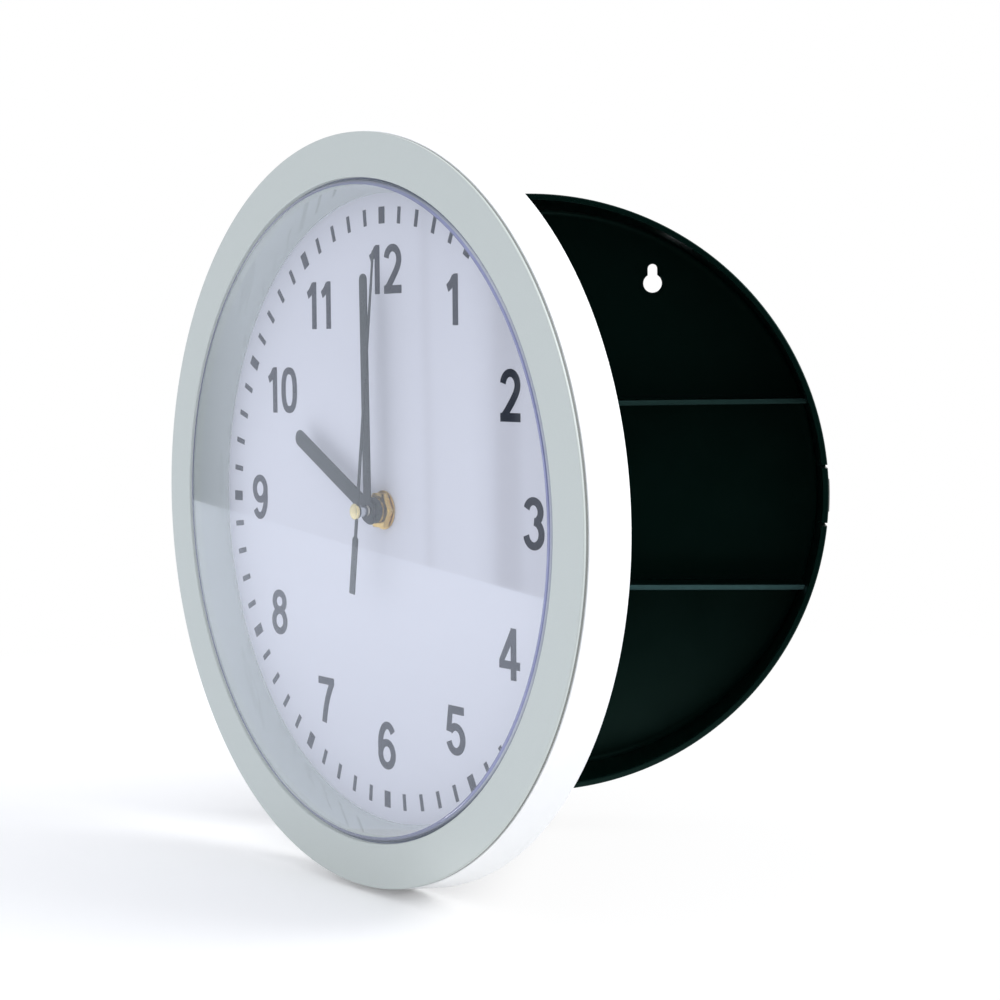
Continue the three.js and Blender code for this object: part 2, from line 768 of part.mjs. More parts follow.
function makeCoil() {
  const y = movementFloor + clearance + coilFlangeRadius;
  const z = tubTopZ - coilInset - coilFlangeRadius;
  const x0 = -tubHalf + coilInset;
  const x1 = x0 + coilLength;
  return join(
    alongX(coilRadius, x0, x1, y, z, smallSides / 2),
    alongX(coilFlangeRadius, x0, x0 + coilFlangeThickness, y, z, smallSides / 2),
    alongX(coilFlangeRadius, x1 - coilFlangeThickness, x1, y, z, smallSides / 2),
  );
}

// A disc with V teeth round its edge.
function toothedDisc(radius, back, thickness, teeth = wheelTeeth, depth = toothDepth) {
  const shape = new THREE.Shape();
  const steps = teeth * 2;
  for (let i = 0; i < steps; i += 1) {
    const angle = (i * 2 * Math.PI) / steps;
    const reach = i % 2 ? radius - depth : radius;
    const point = [reach * Math.cos(angle), reach * Math.sin(angle)];
    if (i) shape.lineTo(...point);
    else shape.moveTo(...point);
  }
  return plate(shape, back, thickness);
}

const minuteWheelRadius = secondWheelRadius - wheelStepDown;
const hourWheelRadius = minuteWheelRadius - wheelStepDown;
const bushFlangeBack = movementFloor + clearance + bushFlangeThickness;
const hourWheelFront = bushFlangeBack + clearance;
const minuteWheelFront = hourWheelFront + wheelThickness + clearance;
const secondWheelFront = minuteWheelFront + wheelThickness + clearance;
const secondWheelBack = secondWheelFront + wheelThickness;
const hourPipeEnd = aboveDial(hourHandHeight + handThickness);
const minutePipeEnd = aboveDial(minutePipeHeight);
const secondTubeBack = aboveDial(secondTubeFoot);
const secondHandBack = aboveDial(secondHandHeight);
const secondHandFront = secondHandBack - secondHandThickness;
const secondCapBack = aboveDial(secondCapFoot);
const secondCapFront = aboveDial(secondCapEnd);

function makeBush() {
  const tube = bar(bushRadius, aboveDial(bushEnd), movementFloor + clearance + joinDepth);
  const flange = bar(bushRadius + bushFlangeWidth, movementFloor + clearance, bushFlangeBack);
  return cut(join(tube, flange), bar(boreOf(hourPipeRadius), aboveDial(bushEnd) - overrun, bushFlangeBack + overrun));
}

function makeWasher() {
  const back = dialFace - clearance;
  const disc = bar(washerRadius, back - washerThickness, back);
  return cut(disc, bar(boreOf(bushRadius), back - washerThickness - overrun, back + overrun));
}

function makeNut() {
  const back = aboveDial(nutFoot);
  const hexagon = bar(nutRadius, back - nutThickness, back, 0, 0, nutSides);
  return cut(hexagon, bar(boreOf(bushRadius), back - nutThickness - overrun, back + overrun));
}

function pipeWithWheel(radius, shaftRadius, end, wheelRadius, wheelFront) {
  const wheelBack = wheelFront + wheelThickness;
  const wheel = toothedDisc(wheelRadius, wheelBack, wheelThickness);
  const pipe = bar(radius, end, wheelFront + joinDepth);
  return cut(join(pipe, wheel), bar(boreOf(shaftRadius), end - overrun, wheelBack + overrun));
}

const knobBack = movementBack + clearance + knobHeight;

function makeSecondArbor() {
  const pivotEnd = movementBack;
  const arbor = bar(secondArborRadius, secondCapFront + secondCapRoof + clearance, pivotEnd);
  return join(arbor, toothedDisc(secondWheelRadius, secondWheelBack, wheelThickness));
}

function makeKnob() {
  const shape = new THREE.Shape();
  const steps = knobFlutes * 4;
  for (let i = 0; i < steps; i += 1) {
    const angle = (i * 2 * Math.PI) / steps;
    const reach = i % 4 < 2 ? knobRadius : knobRadius - knobFluteDepth;
    const point = [reach * Math.cos(angle), reach * Math.sin(angle)];
    if (i) shape.lineTo(...point);
    else shape.moveTo(...point);
  }
  const head = plate(shape, knobBack, knobHeight);
  const shaftFront = secondWheelBack + clearance;
  const shaft = bar(knobShaftRadius, shaftFront, movementBack + clearance + joinDepth);
  const pivotHole = bar(boreOf(secondArborRadius), shaftFront - overrun, movementBack + clearance);
  return cut(join(head, shaft), pivotHole);
}

// Hands: flat blades with a round tip, turned about the axis to their time
function blade(length, width, tipWidth, bossRadius, back, thickness, tail) {
  const shape = new THREE.Shape();
  const [half, tipHalf] = [width / 2, tipWidth / 2];
  shape.moveTo(-half, 0);
  shape.lineTo(half, 0);
  shape.lineTo(tipHalf, length - tipHalf);
  shape.absarc(0, length - tipHalf, tipHalf, 0, Math.PI);
  const parts = [plate(shape, back, thickness), bar(bossRadius, back - thickness, back)];
  if (tail) {
    const neck = new THREE.Shape();
    neck.moveTo(-half, 0);
    neck.lineTo(-half, -tail.start - half);
    neck.lineTo(half, -tail.start - half);
    neck.lineTo(half, 0);
    const weight = new THREE.Shape();
    weight.moveTo(-half, -tail.start);
    weight.lineTo(-tail.width / 2, -tail.start - half);
    weight.lineTo(-tail.width / 2, -tail.length);
    weight.lineTo(tail.width / 2, -tail.length);
    weight.lineTo(tail.width / 2, -tail.start - half);
    weight.lineTo(half, -tail.start);
    parts.push(plate(neck, back, thickness), plate(weight, back, thickness));
  }
  return join(...parts);
}

// Clockwise as seen from the front.
function turnedTo(solid, angle) {
  return solid.rotate([0, THREE.MathUtils.radToDeg(angle), 0]);
}

function makeHourHand() {
  const back = aboveDial(hourHandHeight);
  const flat = blade(
    dialRadius - hourTipInset,
    hourHandWidth,
    hourHandWidth,
    hourBossRadius,
    back,
    handThickness,
  );
  const collar = bar(hourBossRadius, back - joinDepth / 2, back + hourCollarLength);
  const bore = bar(boreOf(hourPipeRadius), back - handThickness - overrun, back + hourCollarLength + overrun);
  return turnedTo(cut(join(flat, collar), bore), hourHandAngle);
}

function makeMinuteHand() {
  const back = aboveDial(minuteHandHeight);
  const flat = blade(
    dialRadius - minuteTipInset,
    minuteHandWidth,
    minuteHandWidth,
    minuteBossRadius,
    back,
    handThickness,
  );
  const bore = bar(boreOf(minutePipeRadius), back - handThickness - overrun, back + overrun);
  return turnedTo(cut(flat, bore), minuteHandAngle);
}

function makeSecondHand() {
  const tail = { start: secondTailStart, length: secondTailLength, width: secondTailWidth };
  const flat = blade(
    dialRadius - secondTipInset,
    secondHandWidth,
    secondTipWidth,
    secondBossRadius,
    secondHandBack,
    secondHandThickness,
    tail,
  );
  const bore = bar(boreOf(secondArborRadius), secondHandFront - overrun, secondHandBack + overrun);
  return turnedTo(cut(flat, bore), secondHandAngle);
}

function makeSecondTube() {
  const front = secondHandBack + clearance;
  const tube = bar(secondTubeRadius, front, secondTubeBack);
  return cut(tube, bar(boreOf(secondArborRadius), front - overrun, secondTubeBack + overrun));
}

function makeSecondCap() {
  const cap = bar(secondCapRadius, secondCapFront, secondCapBack);
  return cut(cap, bar(boreOf(secondArborRadius), secondCapFront + secondCapRoof, secondCapBack + overrun));
}

// Assembly
const safe = new THREE.Group();
safe.name = "clock_safe";
safe.add(
  meshOf("tray", makeTray(), "trayBlack"),
  meshOf("hinge_pin", makeHingePin(), "steel"),
);

// The clock's pieces are made where they lie with the safe shut, and the group swings them open about the pin.
const clock = new THREE.Group();
clock.position.set(-hingeX, -hingeY, 0);
clock.add(
  meshOf("front_bezel", makeBezel(), "silverLacquer"),
  meshOf("case_ring", makeCaseRing(), "caseWhite"),
  meshOf("lens", makeLens(), "clearPlastic"),
  meshOf("dial", makeDial(), "dialWhite"),
  meshOf("back_plate", makeBackPlate(), "trayBlack"),
  meshOf("movement_case", makeMovementCase(), "movementBlack"),
  meshOf("movement_cover", makeMovementCover(), "movementBlack"),
  meshOf("circuit_board", makeBoard(), "boardGreen"),
  meshOf("drive_coil", makeCoil(), "copper"),
  meshOf("contact_plus", makeContact(1), "steel"),
  meshOf("contact_minus", makeContact(-1), "steel"),
  meshOf("battery", makeBattery(), "batteryJacket"),
  meshOf("setting_knob", makeKnob(), "nylonWhite"),
  meshOf("threaded_bush", makeBush(), "brass"),
  meshOf("bush_washer", makeWasher(), "brass"),
  meshOf("bush_nut", makeNut(), "brass"),
  meshOf(
    "hour_pipe",
    pipeWithWheel(hourPipeRadius, minutePipeRadius, hourPipeEnd, hourWheelRadius, hourWheelFront),
    "nylonWhite",
  ),
  meshOf(
    "minute_pipe",
    pipeWithWheel(minutePipeRadius, secondArborRadius, minutePipeEnd, minuteWheelRadius, minuteWheelFront),
    "nylonWhite",
  ),
  meshOf("second_arbor", makeSecondArbor(), "steel"),
  meshOf("hour_hand", makeHourHand(), "handBlack"),
  meshOf("minute_hand", makeMinuteHand(), "handBlack"),
  meshOf("second_hand", makeSecondHand(), "handBlack"),
  meshOf("second_tube", makeSecondTube(), "steel"),
  meshOf("second_cap", makeSecondCap(), "brass"),
);
screwPlaces().forEach((place, i) => {
  clock.add(meshOf(`case_screw_${i + 1}`, makeCaseScrew(place), "steel"));
});
const swing = new THREE.Group();
swing.position.set(hingeX, hingeY, 0);
swing.rotation.z = -openAngle;
swing.add(clock);
safe.add(swing);

export default safe;
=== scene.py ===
# Looks of the clock safe: a wall clock swung open on its hinge in front of a black tray with two shelves.
# Sizes are in millimetres and become metres when a piece is made. Pieces of the clock are drawn with the safe shut
# and then swung open. A profile is a list of (radius, place along Y), and a third number rounds that corner.
from math import asin, atan2, copysign, cos, degrees, hypot, pi, radians, sin, sqrt, tan

import bmesh
import bpy
from mathutils import Matrix, Vector


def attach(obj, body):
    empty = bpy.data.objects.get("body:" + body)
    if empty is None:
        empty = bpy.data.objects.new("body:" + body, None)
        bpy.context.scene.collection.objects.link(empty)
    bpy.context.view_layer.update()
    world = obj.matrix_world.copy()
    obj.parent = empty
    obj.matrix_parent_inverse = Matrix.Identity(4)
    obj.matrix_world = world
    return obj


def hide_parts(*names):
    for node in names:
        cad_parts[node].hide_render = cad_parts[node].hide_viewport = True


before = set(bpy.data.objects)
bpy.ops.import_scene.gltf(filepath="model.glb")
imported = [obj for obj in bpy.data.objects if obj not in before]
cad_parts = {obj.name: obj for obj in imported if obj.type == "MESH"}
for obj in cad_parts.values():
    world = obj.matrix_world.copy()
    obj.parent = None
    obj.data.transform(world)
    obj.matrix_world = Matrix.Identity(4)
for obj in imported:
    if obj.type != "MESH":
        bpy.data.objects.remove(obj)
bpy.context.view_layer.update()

MM = 0.001
RING_SIDES = 288
NUT_SIDES = 96
SHAFT_SIDES = 64
SHARP_ANGLE = radians(32)

# Sizes of the object, as in the solids
HINGE = Vector((-113.5, -33.45, 0))
OPEN_ANGLE = radians(-46.19)
CLOCK_FRONT = -52.76
CLOCK_DEPTH = 16.46
DIAL_FACE = -37.46
DIAL_BACK = -36.66
PLATE_FRONT = -36.36
PLATE_BACK = -34.56
MOVEMENT_FRONT = -34.26
MOVEMENT_BACK = -19.26
RIM_PLANE = -36.0
LENS_WINDOW = 105.9
LENS_FLAT = 107.9
DIAL_RADIUS = 107.1
DIAL_TURN = radians(0.724)  # the dial sits turned this much clockwise in the case
BUSH_RADIUS = 4.0
BUSH_HOLE = 4.3
PIN_BORE = 1.3
SCREW_HOLE = 1.6
KNUCKLE = 2.4  # radius of the hinge's knuckles, on the tray and on the clock
LATCH_Z = -1.1  # height of the middle of the latch

SWING = Matrix.Translation(HINGE) @ Matrix.Rotation(OPEN_ANGLE, 4, "Z") @ Matrix.Translation(-HINGE)
TO_METRES = Matrix.Scale(MM, 4)


def behind(depth):
    """Place along Y of a depth behind the clock's front rim."""
    return CLOCK_FRONT + depth


def above(height):
    """Place along Y of a height in front of the dial's face."""
    return DIAL_FACE - height


# Outlines
def arc(x, y, across, start, stop, steps=20, high=None):
    """Points of an arc about (x, y), between two angles in degrees; an oval one where its height is given too."""
    high = across if high is None else high
    angles = [radians(start + (stop - start) * step / steps) for step in range(steps + 1)]
    return [(x + across * cos(angle), y + high * sin(angle)) for angle in angles]


def oval(x, y, across, high, steps=40, power=2.0):
    """Points round a closed oval; a power above 2 squares its shoulders."""
    points = []
    for step in range(steps):
        angle = 2 * pi * step / steps
        c, s = cos(angle), sin(angle)
        points.append((x + across * copysign(abs(c) ** (2 / power), c),
                       y + high * copysign(abs(s) ** (2 / power), s)))
    return points


def round_outline(radius, corners=48):
    return arc(0, 0, radius, 0, 360 - 360 / corners, corners - 1)


def bow(start, control, stop, steps=10):
    """Points of a curve from start to stop that is drawn towards a control point."""
    return [tuple((1 - t) ** 2 * s + 2 * t * (1 - t) * c + t * t * e for s, c, e in zip(start, control, stop))
            for t in [i / steps for i in range(steps + 1)]]


def oblong(left, low, right, high):
    """Corners of an upright rectangle."""
    return [(left, low), (right, low), (right, high), (left, high)]


def filleted(corners, steps=5):
    """A closed outline from corners (a, b) or (a, b, fillet radius)."""
    points = []
    for index, corner in enumerate(corners):
        here = Vector(corner[:2])
        if len(corner) == 2:
            points.append(tuple(here))
            continue
        radius = corner[2]
        back = (Vector(corners[index - 1][:2]) - here).normalized()
        ahead = (Vector(corners[(index + 1) % len(corners)][:2]) - here).normalized()
        half = back.angle(ahead) / 2
        centre = here + (back + ahead).normalized() * radius / sin(half)
        start = here + back * radius / tan(half) - centre
        stop = here + ahead * radius / tan(half) - centre
        first = atan2(start.y, start.x)
        turn = (atan2(stop.y, stop.x) - first + pi) % (2 * pi) - pi
        for step in range(steps + 1):
            angle = first + turn * step / steps
            points.append((centre.x + radius * cos(angle), centre.y + radius * sin(angle)))
    return points


def rounded_square(half_x, half_z, radius):
    return filleted([(x, z, radius) for x, z in oblong(-half_x, -half_z, half_x, half_z)], 8)


def toothed(radius, count, tooth_steps):
    """A round outline with equal teeth; a step of a tooth is (share of its angle, reach)."""
    outline = []
    for tooth in range(count):
        for share, reach in tooth_steps:
            angle = 2 * pi * (tooth + share) / count
            outline.append(((radius + reach) * cos(angle), (radius + reach) * sin(angle)))
    return outline


# Solid forms
def turned(profile, sides=RING_SIDES, steps=5):
    """A closed profile of (radius, y), or (radius, y, fillet radius), turned about the clock's axis."""
    if any(len(corner) == 3 for corner in profile):
        profile = filleted(profile, steps)
    shape = bmesh.new()
    rings = []
    for radius, y in profile:
        if radius < 1e-6:
            rings.append([shape.verts.new((0, y, 0))])
            continue
        angles = [2 * pi * side / sides for side in range(sides)]
        rings.append([shape.verts.new((radius * cos(a), y, radius * sin(a))) for a in angles])
    for ring, after in zip(rings, rings[1:] + rings[:1]):
        if len(ring) == 1 and len(after) == 1:
            continue
        for side in range(sides):
            step = (side + 1) % sides
            places = ((ring, side), (ring, step), (after, step), (after, side))
            shape.faces.new(tuple(dict.fromkeys(loop[place % len(loop)] for loop, place in places)))
    bmesh.ops.recalc_face_normals(shape, faces=shape.faces)
    return shape


def rod(radius, start, stop, bore=0.0, fillet=()):
    """A rod, or a tube with a bore, along the clock's axis, its outer edges rounded."""
    return turned([(bore, start), (radius, start, *fillet), (radius, stop, *fillet), (bore, stop)], SHAFT_SIDES)


def plate(outline, front, thickness, holes=(), edge=0.0):
    """A flat outline in the X-Z plane, with holes, from its front face back by its thickness, its edges rounded."""
    shape = bmesh.new()
    for loop in (outline, *holes):
        verts = [shape.verts.new((x, front, z)) for x, z in loop]
        for index, vert in enumerate(verts):
            shape.edges.new((vert, verts[(index + 1) % len(verts)]))
    bmesh.ops.triangle_fill(shape, use_beauty=True, edges=shape.edges)
    made = bmesh.ops.extrude_face_region(shape, geom=shape.faces[:])
    pushed = [item for item in made["geom"] if isinstance(item, bmesh.types.BMVert)]
    bmesh.ops.translate(shape, verts=pushed, vec=(0, thickness, 0))
    bmesh.ops.recalc_face_normals(shape, faces=shape.faces)
    if edge:
        rims = [item for item in shape.edges if item.calc_face_angle(0) > radians(60)
                and abs(item.verts[0].co.y - item.verts[1].co.y) < 1e-6]
        bmesh.ops.bevel(shape, geom=rims, offset=edge, segments=2, affect="EDGES", profile=0.5)
    return shape


def box(low, high, edge=0.0):
    """A block between two corners, its edges rounded."""
    shape = bmesh.new()
    bmesh.ops.create_cube(shape, size=1.0)
    for vert in shape.verts:
        vert.co = Vector(low[i] + (vert.co[i] + 0.5) * (high[i] - low[i]) for i in range(3))
    if edge:
        bmesh.ops.bevel(shape, geom=shape.edges[:], offset=edge, segments=2, affect="EDGES", profile=0.5)
    return shape


def skinned(outlines):
    """A closed skin over a row of outlines that have as many points each."""
    shape = bmesh.new()
    rows = [[shape.verts.new(point) for point in outline] for outline in outlines]
    count = len(rows[0])
    for row, after in zip(rows, rows[1:]):
        for i in range(count):
            step = (i + 1) % count
            shape.faces.new((row[i], row[step], after[step], after[i]))
    shape.faces.new(rows[0][::-1])
    shape.faces.new(rows[-1])
    bmesh.ops.recalc_face_normals(shape, faces=shape.faces)
    return shape


def moved(shape, matrix):
    shape.transform(matrix)
    return shape


def placed(shape, x, z):
    return moved(shape, Matrix.Translation((x, 0, z)))


def on_hinge(shape):
    """Stands a turned form on the hinge's axis."""
    return moved(shape, Matrix.Translation(HINGE) @ Matrix.Rotation(radians(90), 4, "X"))


def lying(shape, place):
    """Lays a turned form along X, at a place."""
    return moved(shape, Matrix.Translation(place) @ Matrix.Rotation(radians(-90), 4, "Z"))


def mesh_of(shape, name="loose"):
    mesh = bpy.data.meshes.new(name)
    shape.to_mesh(mesh)
    shape.free()
    return mesh


def linked(name, data):
    item = bpy.data.objects.new(name, data)
    bpy.context.scene.collection.objects.link(item)
    return item


def joined(*shapes):
    """Several shapes in one, without a union."""
    whole = bmesh.new()
    for shape in shapes:
        mesh = mesh_of(shape)
        whole.from_mesh(mesh)
        bpy.data.meshes.remove(mesh)
    return whole


def carved(shape, adds=(), cuts=(), within=()):
    """A shape with others added to it, then others cut away, and then cropped to what lies within others."""
    body = linked("loose", mesh_of(shape))
    kinds = ("UNION", adds), ("DIFFERENCE", cuts), ("INTERSECT", within)
    for operation, tool in [(operation, tool) for operation, tools in kinds for tool in tools]:
        cutter = linked("loose", mesh_of(tool))
        step = body.modifiers.new("step", "BOOLEAN")
        step.operation = operation
        step.solver = "EXACT"
        step.object = cutter
        bpy.context.view_layer.update()
        result = bpy.data.meshes.new_from_object(body.evaluated_get(bpy.context.evaluated_depsgraph_get()))
        body.modifiers.clear()
        body.data = result
        bpy.data.objects.remove(cutter)
    whole = bmesh.new()
    whole.from_mesh(body.data)
    bpy.data.objects.remove(body)
    bmesh.ops.remove_doubles(whole, verts=whole.verts, dist=1e-4)
    bmesh.ops.dissolve_degenerate(whole, edges=whole.edges, dist=1e-4)
    return whole


def facing(face):
    """A face's middle, that middle's distance from the clock's axis, and how much the face looks outward there."""
    middle = face.calc_center_median()
    outward = face.normal.x * middle.x + face.normal.z * middle.z
    return middle, hypot(middle.x, middle.z), outward


def piece(name, shape, materials, nodes, body="clock"):
    """Makes the object, swings it open unless it stays with the tray, and gives it to the frame."""
    shape.transform(TO_METRES if body == "storage_tray" else TO_METRES @ SWING)
    for face in shape.faces:
        face.smooth = True
    for edge in shape.edges:
        edge.smooth = edge.calc_face_angle(0) < SHARP_ANGLE
    mesh = mesh_of(shape, name)
    for material in materials if isinstance(materials, list) else [materials]:
        mesh.materials.append(material)
    item = linked(name, mesh)
    item.modifiers.new("even_normals", "WEIGHTED_NORMAL").keep_sharp = True
    if nodes:
        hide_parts(*nodes)
    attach(item, body)
    return item


# Materials
def linear(hex_colour):
    """An sRGB hex colour as linear red, green, blue and alpha."""
    channels = [int(hex_colour[i:i + 2], 16) / 255 for i in (1, 3, 5)]
    return (*[c / 12.92 if c <= 0.04045 else ((c + 0.055) / 1.055) ** 2.4 for c in channels], 1.0)


def node(tree, kind, inputs=None, **settings):
    """Adds a shader node with its settings; an input is a value, or another node's output to link."""
    added = tree.nodes.new("ShaderNode" + kind)
    for name, value in settings.items():
        setattr(added, name, value)
    for name, value in (inputs or {}).items():
        if isinstance(value, bpy.types.NodeSocket):
            tree.links.new(value, added.inputs[name])
        else:
            added.inputs[name].default_value = value
    return added


def new_material(name):
    """A material with nothing in it yet but the coordinates of the object that wears it."""
    material = bpy.data.materials.new(name)
    material.use_nodes = True
    tree = material.node_tree
    tree.nodes.clear()
    return material, tree, node(tree, "TexCoord").outputs["Object"]


def surfaced(material, shader):
    """Gives a material its surface."""
    node(material.node_tree, "OutputMaterial", {"Surface": shader.outputs[0]})
    return material


def per_mm(size):
    """Texture scale, in object metres, at which a pattern repeats about every `size` millimetres."""
    return 1 / (size * MM)


def finish(name, colour, grain_mm, roughness, bump_mm=0.0, colour_spread=0.04, metallic=0.0,
           specular=0.5, rough_spread=0.06, sheen=None):
    """A finish with a fine grain: the grain tints the colour, varies the gloss and lifts the surface a little."""
    material, tree, place = new_material(name)
    grain = node(tree, "TexNoise", {"Vector": place, "Scale": per_mm(grain_mm), "Detail": 2.0})
    dark, light = [(*[min(1.0, c * (1 + spread)) for c in linear(colour)[:3]], 1.0)
                   for spread in (-colour_spread, colour_spread)]
    tint = node(tree, "Mix", {"Factor": grain.outputs["Fac"], "A": dark, "B": light}, data_type="RGBA")
    gloss = node(tree, "MapRange", {
        "Value": grain.outputs["Fac"], "From Min": 0.3, "From Max": 0.7,
        "To Min": roughness - rough_spread / 2, "To Max": roughness + rough_spread / 2,
    })
    inputs = {"Base Color": tint.outputs["Result"], "Roughness": gloss.outputs["Result"], "Metallic": metallic}
    if metallic < 1:
        inputs.update({"Specular IOR Level": specular, "IOR": 1.5})
    if sheen:
        inputs["Specular Tint"] = linear(sheen)
    if bump_mm:
        inputs["Normal"] = node(tree, "Bump", {
            "Height": grain.outputs["Fac"], "Strength": 1.0, "Distance": bump_mm * MM,
        }).outputs["Normal"]
    shader = node(tree, "BsdfPrincipled", inputs)
    return surfaced(material, shader)


# Injection-moulded ABS from a polished mould: deep black, with a faint slow waviness that softens reflections.
black_abs = finish("moulded_black_ABS", "#01130f", 14.0, 0.32, 0.008, 0.12, specular=0.50, sheen="#86b8ad")
# The shelves' front edges: duller, and painted a little paler as painted highlight on their rounded fronts, the lower
# one most, as the light from above falls on its top.
upper_shelf_highlight_abs = finish("painted_highlight_upper_shelf_ABS", "#1f3331", 3.0, 0.50, 0.01, 0.20, specular=0.40, sheen="#7fb8ac")
lower_shelf_highlight_abs = finish("painted_highlight_lower_shelf_ABS", "#3a5555", 3.0, 0.54, 0.01, 0.20, specular=0.40, sheen="#7fb8ac")
# The tray's outside, from a blasted mould: satin, so that the room shows in it as a soft grey sheen.
satin_abs = finish("satin_black_ABS", "#0b100f", 1.2, 0.46, 0.010, 0.12, specular=0.40, sheen="#b9c6c2")
# The same ABS from an etched mould, on the parts behind the dial: a fine even matt grain.
etched_abs = finish("etched_black_ABS", "#141516", 0.5, 0.62, 0.015, 0.10, specular=0.30)
# Silver lacquer sprayed on ABS: fine metal flakes under a satin clear coat give an even, slightly green grey.
silver_lacquer = finish("sprayed_silver_lacquer", "#c6cdca", 0.45, 0.46, 0.0006, 0.03, 0.10, 0.30)
# The bezel's outer side, at its rear: a thin dark line of painted shade, where the rim meets the white case.
rim_painted_shade = finish("painted_shade_on_rim", "#7b7e7b", 0.45, 0.5, 0.0006, 0.04, specular=0.20)
# White ABS, gloss moulded: nearly white, with a soft sheen.
white_abs = finish("moulded_white_ABS", "#f8f9f9", 9.0, 0.30, 0.002, 0.006, specular=0.40, rough_spread=0.02)
# Coated card, printed all over in a cool white: matt, with a fine paper fibre.
dial_card = finish("coated_dial_card", "#dadce3", 0.35, 0.62, 0.0, 0.006, specular=0.15)
# Screen-printed ink: dense, slightly raised and a little glossier than the card.
printing_ink = finish("screen_printed_ink", "#292f3a", 0.25, 0.60, 0.003, 0.10, specular=0.15)
# Stamped aluminium strip, painted satin black: thin and even, with a fine orange peel.
hand_paint = finish("satin_black_paint", "#2e3733", 0.6, 0.45, 0.003, 0.08, specular=0.25)
# Brass turned on a lathe and left bare: a warm yellow, with soft highlights on its flats.
turned_brass = finish("turned_brass", "#e6c06c", 0.3, 0.28, 0.002, 0.06, metallic=1.0)
# The second hand's cap, polished and lacquered: the same brass, paler and yellower.
polished_brass = finish("polished_brass", "#f6e2a4", 0.3, 0.22, 0.001, 0.04, metallic=1.0)
# Zinc-plated steel: cool grey with a slightly uneven plate.
zinc_steel = finish("zinc_plated_steel", "#b9bec2", 0.8, 0.32, 0.002, 0.06, metallic=1.0)
# Drawn steel wire and arbor stock: smooth, bright and cool.
drawn_steel = finish("drawn_steel", "#c9cccf", 0.4, 0.22, 0.001, 0.04, metallic=1.0)
# Nylon gears and knob: waxy off-white.
white_nylon = finish("moulded_white_nylon", "#e6e3d8", 1.2, 0.45, 0.003, 0.02, specular=0.45)
# Fibreglass board under solder mask: a glossy, slightly mottled green.
solder_mask = finish("green_solder_mask", "#2f6b45", 1.0, 0.34, 0.004, 0.12)
# Enamelled copper wire: a dark glossy orange.
copper_wire = finish("enamelled_copper_wire", "#b0683a", 0.3, 0.30, 0.001, 0.08, metallic=1.0)
# Battery jacket, printed film over steel: a dull blue with a metal gloss.
battery_film = finish("battery_jacket_film", "#33505f", 3.0, 0.30, 0.002, 0.05, 0.35)

LENS_IOR = 1.59


def polystyrene(name, colour, grain_mm, detail, shading):
    """Clear polystyrene: polished it is like water, with sharp reflections; left rough from the mould it is milky."""
    material, tree, place = new_material(name)
    grain = node(tree, "TexNoise", {"Vector": place, "Scale": per_mm(grain_mm), "Detail": detail})
    lift = node(tree, "Bump", {"Height": grain.outputs["Fac"], "Strength": 1.0, "Distance": 0.02 * MM})
    shader = node(tree, "BsdfPrincipled", {
        "Base Color": linear(colour), "IOR": LENS_IOR, "Normal": lift.outputs["Normal"], **shading,
    })
    return surfaced(material, shader)


def edge_polystyrene(name, low, high, grazing_shade, clearness):
    """The lens's rounded edge: a soft blue-violet line painted into its colour, painted light for the light trapped in
    the sheet that leaves there, and darker where it turns away from the eye, painted shade.
    """
    material, tree, place = new_material(name)
    grain = node(tree, "TexNoise", {"Vector": place, "Scale": per_mm(2.0), "Detail": 2.0})
    tint = node(tree, "Mix", {
        "Factor": grain.outputs["Fac"], "A": linear(low), "B": linear(high),
    }, data_type="RGBA")
    # Painted shade: the colour turns to the darker grazing one where the edge turns away from the eye
    turn = node(tree, "LayerWeight", {"Blend": 0.5})
    away = node(tree, "MapRange", {"Value": turn.outputs["Facing"], "From Min": 0.28, "From Max": 0.52})
    shade = node(tree, "Mix", {
        "Factor": away.outputs["Result"], "A": tint.outputs["Result"], "B": linear(grazing_shade),
    }, data_type="RGBA")
    shader = node(tree, "BsdfPrincipled", {
        "Base Color": shade.outputs["Result"], "Roughness": 0.16, "IOR": LENS_IOR, "Transmission Weight": clearness,
    })
    return surfaced(material, shader)


FROSTED = {"Roughness": 0.6, "Specular IOR Level": 0.3}
# The cup's window, from a polished mould: water clear with a cool tint seen along its edge.
clear_lens = polystyrene("moulded_clear_polystyrene", "#f7f8fd", 60, 0.0, {
    "Roughness": 0.02, "Transmission Weight": 1.0,
})
# The cup's skirt, left rough from the mould: milky, and seen from in front through the clear plastic.
frosted_skirt = polystyrene("frosted_skirt_polystyrene", "#bfc7c1", 0.6, 2.0, FROSTED)
# The flange lies in the bezel's shade: the same milky plastic, darker and bluer.
flange_shade = polystyrene("shaded_flange_polystyrene", "#868c9e", 0.6, 2.0, FROSTED)
# The rounded edge: a soft blue-violet line painted into its colour, painted light for light trapped in the sheet that
# leaves there; darker where it turns away, painted shade.
lens_edge = edge_polystyrene("edge_of_clear_polystyrene", "#888dbb", "#959ac2", "#8489a2", 0.35)
# Past the edge, where it turns into the bezel: the same clear plastic, a little clearer, its pale lavender colour
# painted light, and darker where it turns away, painted shade.
lens_shoulder = edge_polystyrene("shoulder_of_clear_polystyrene", "#c2c6da", "#cacde0", "#7c8196", 0.45)

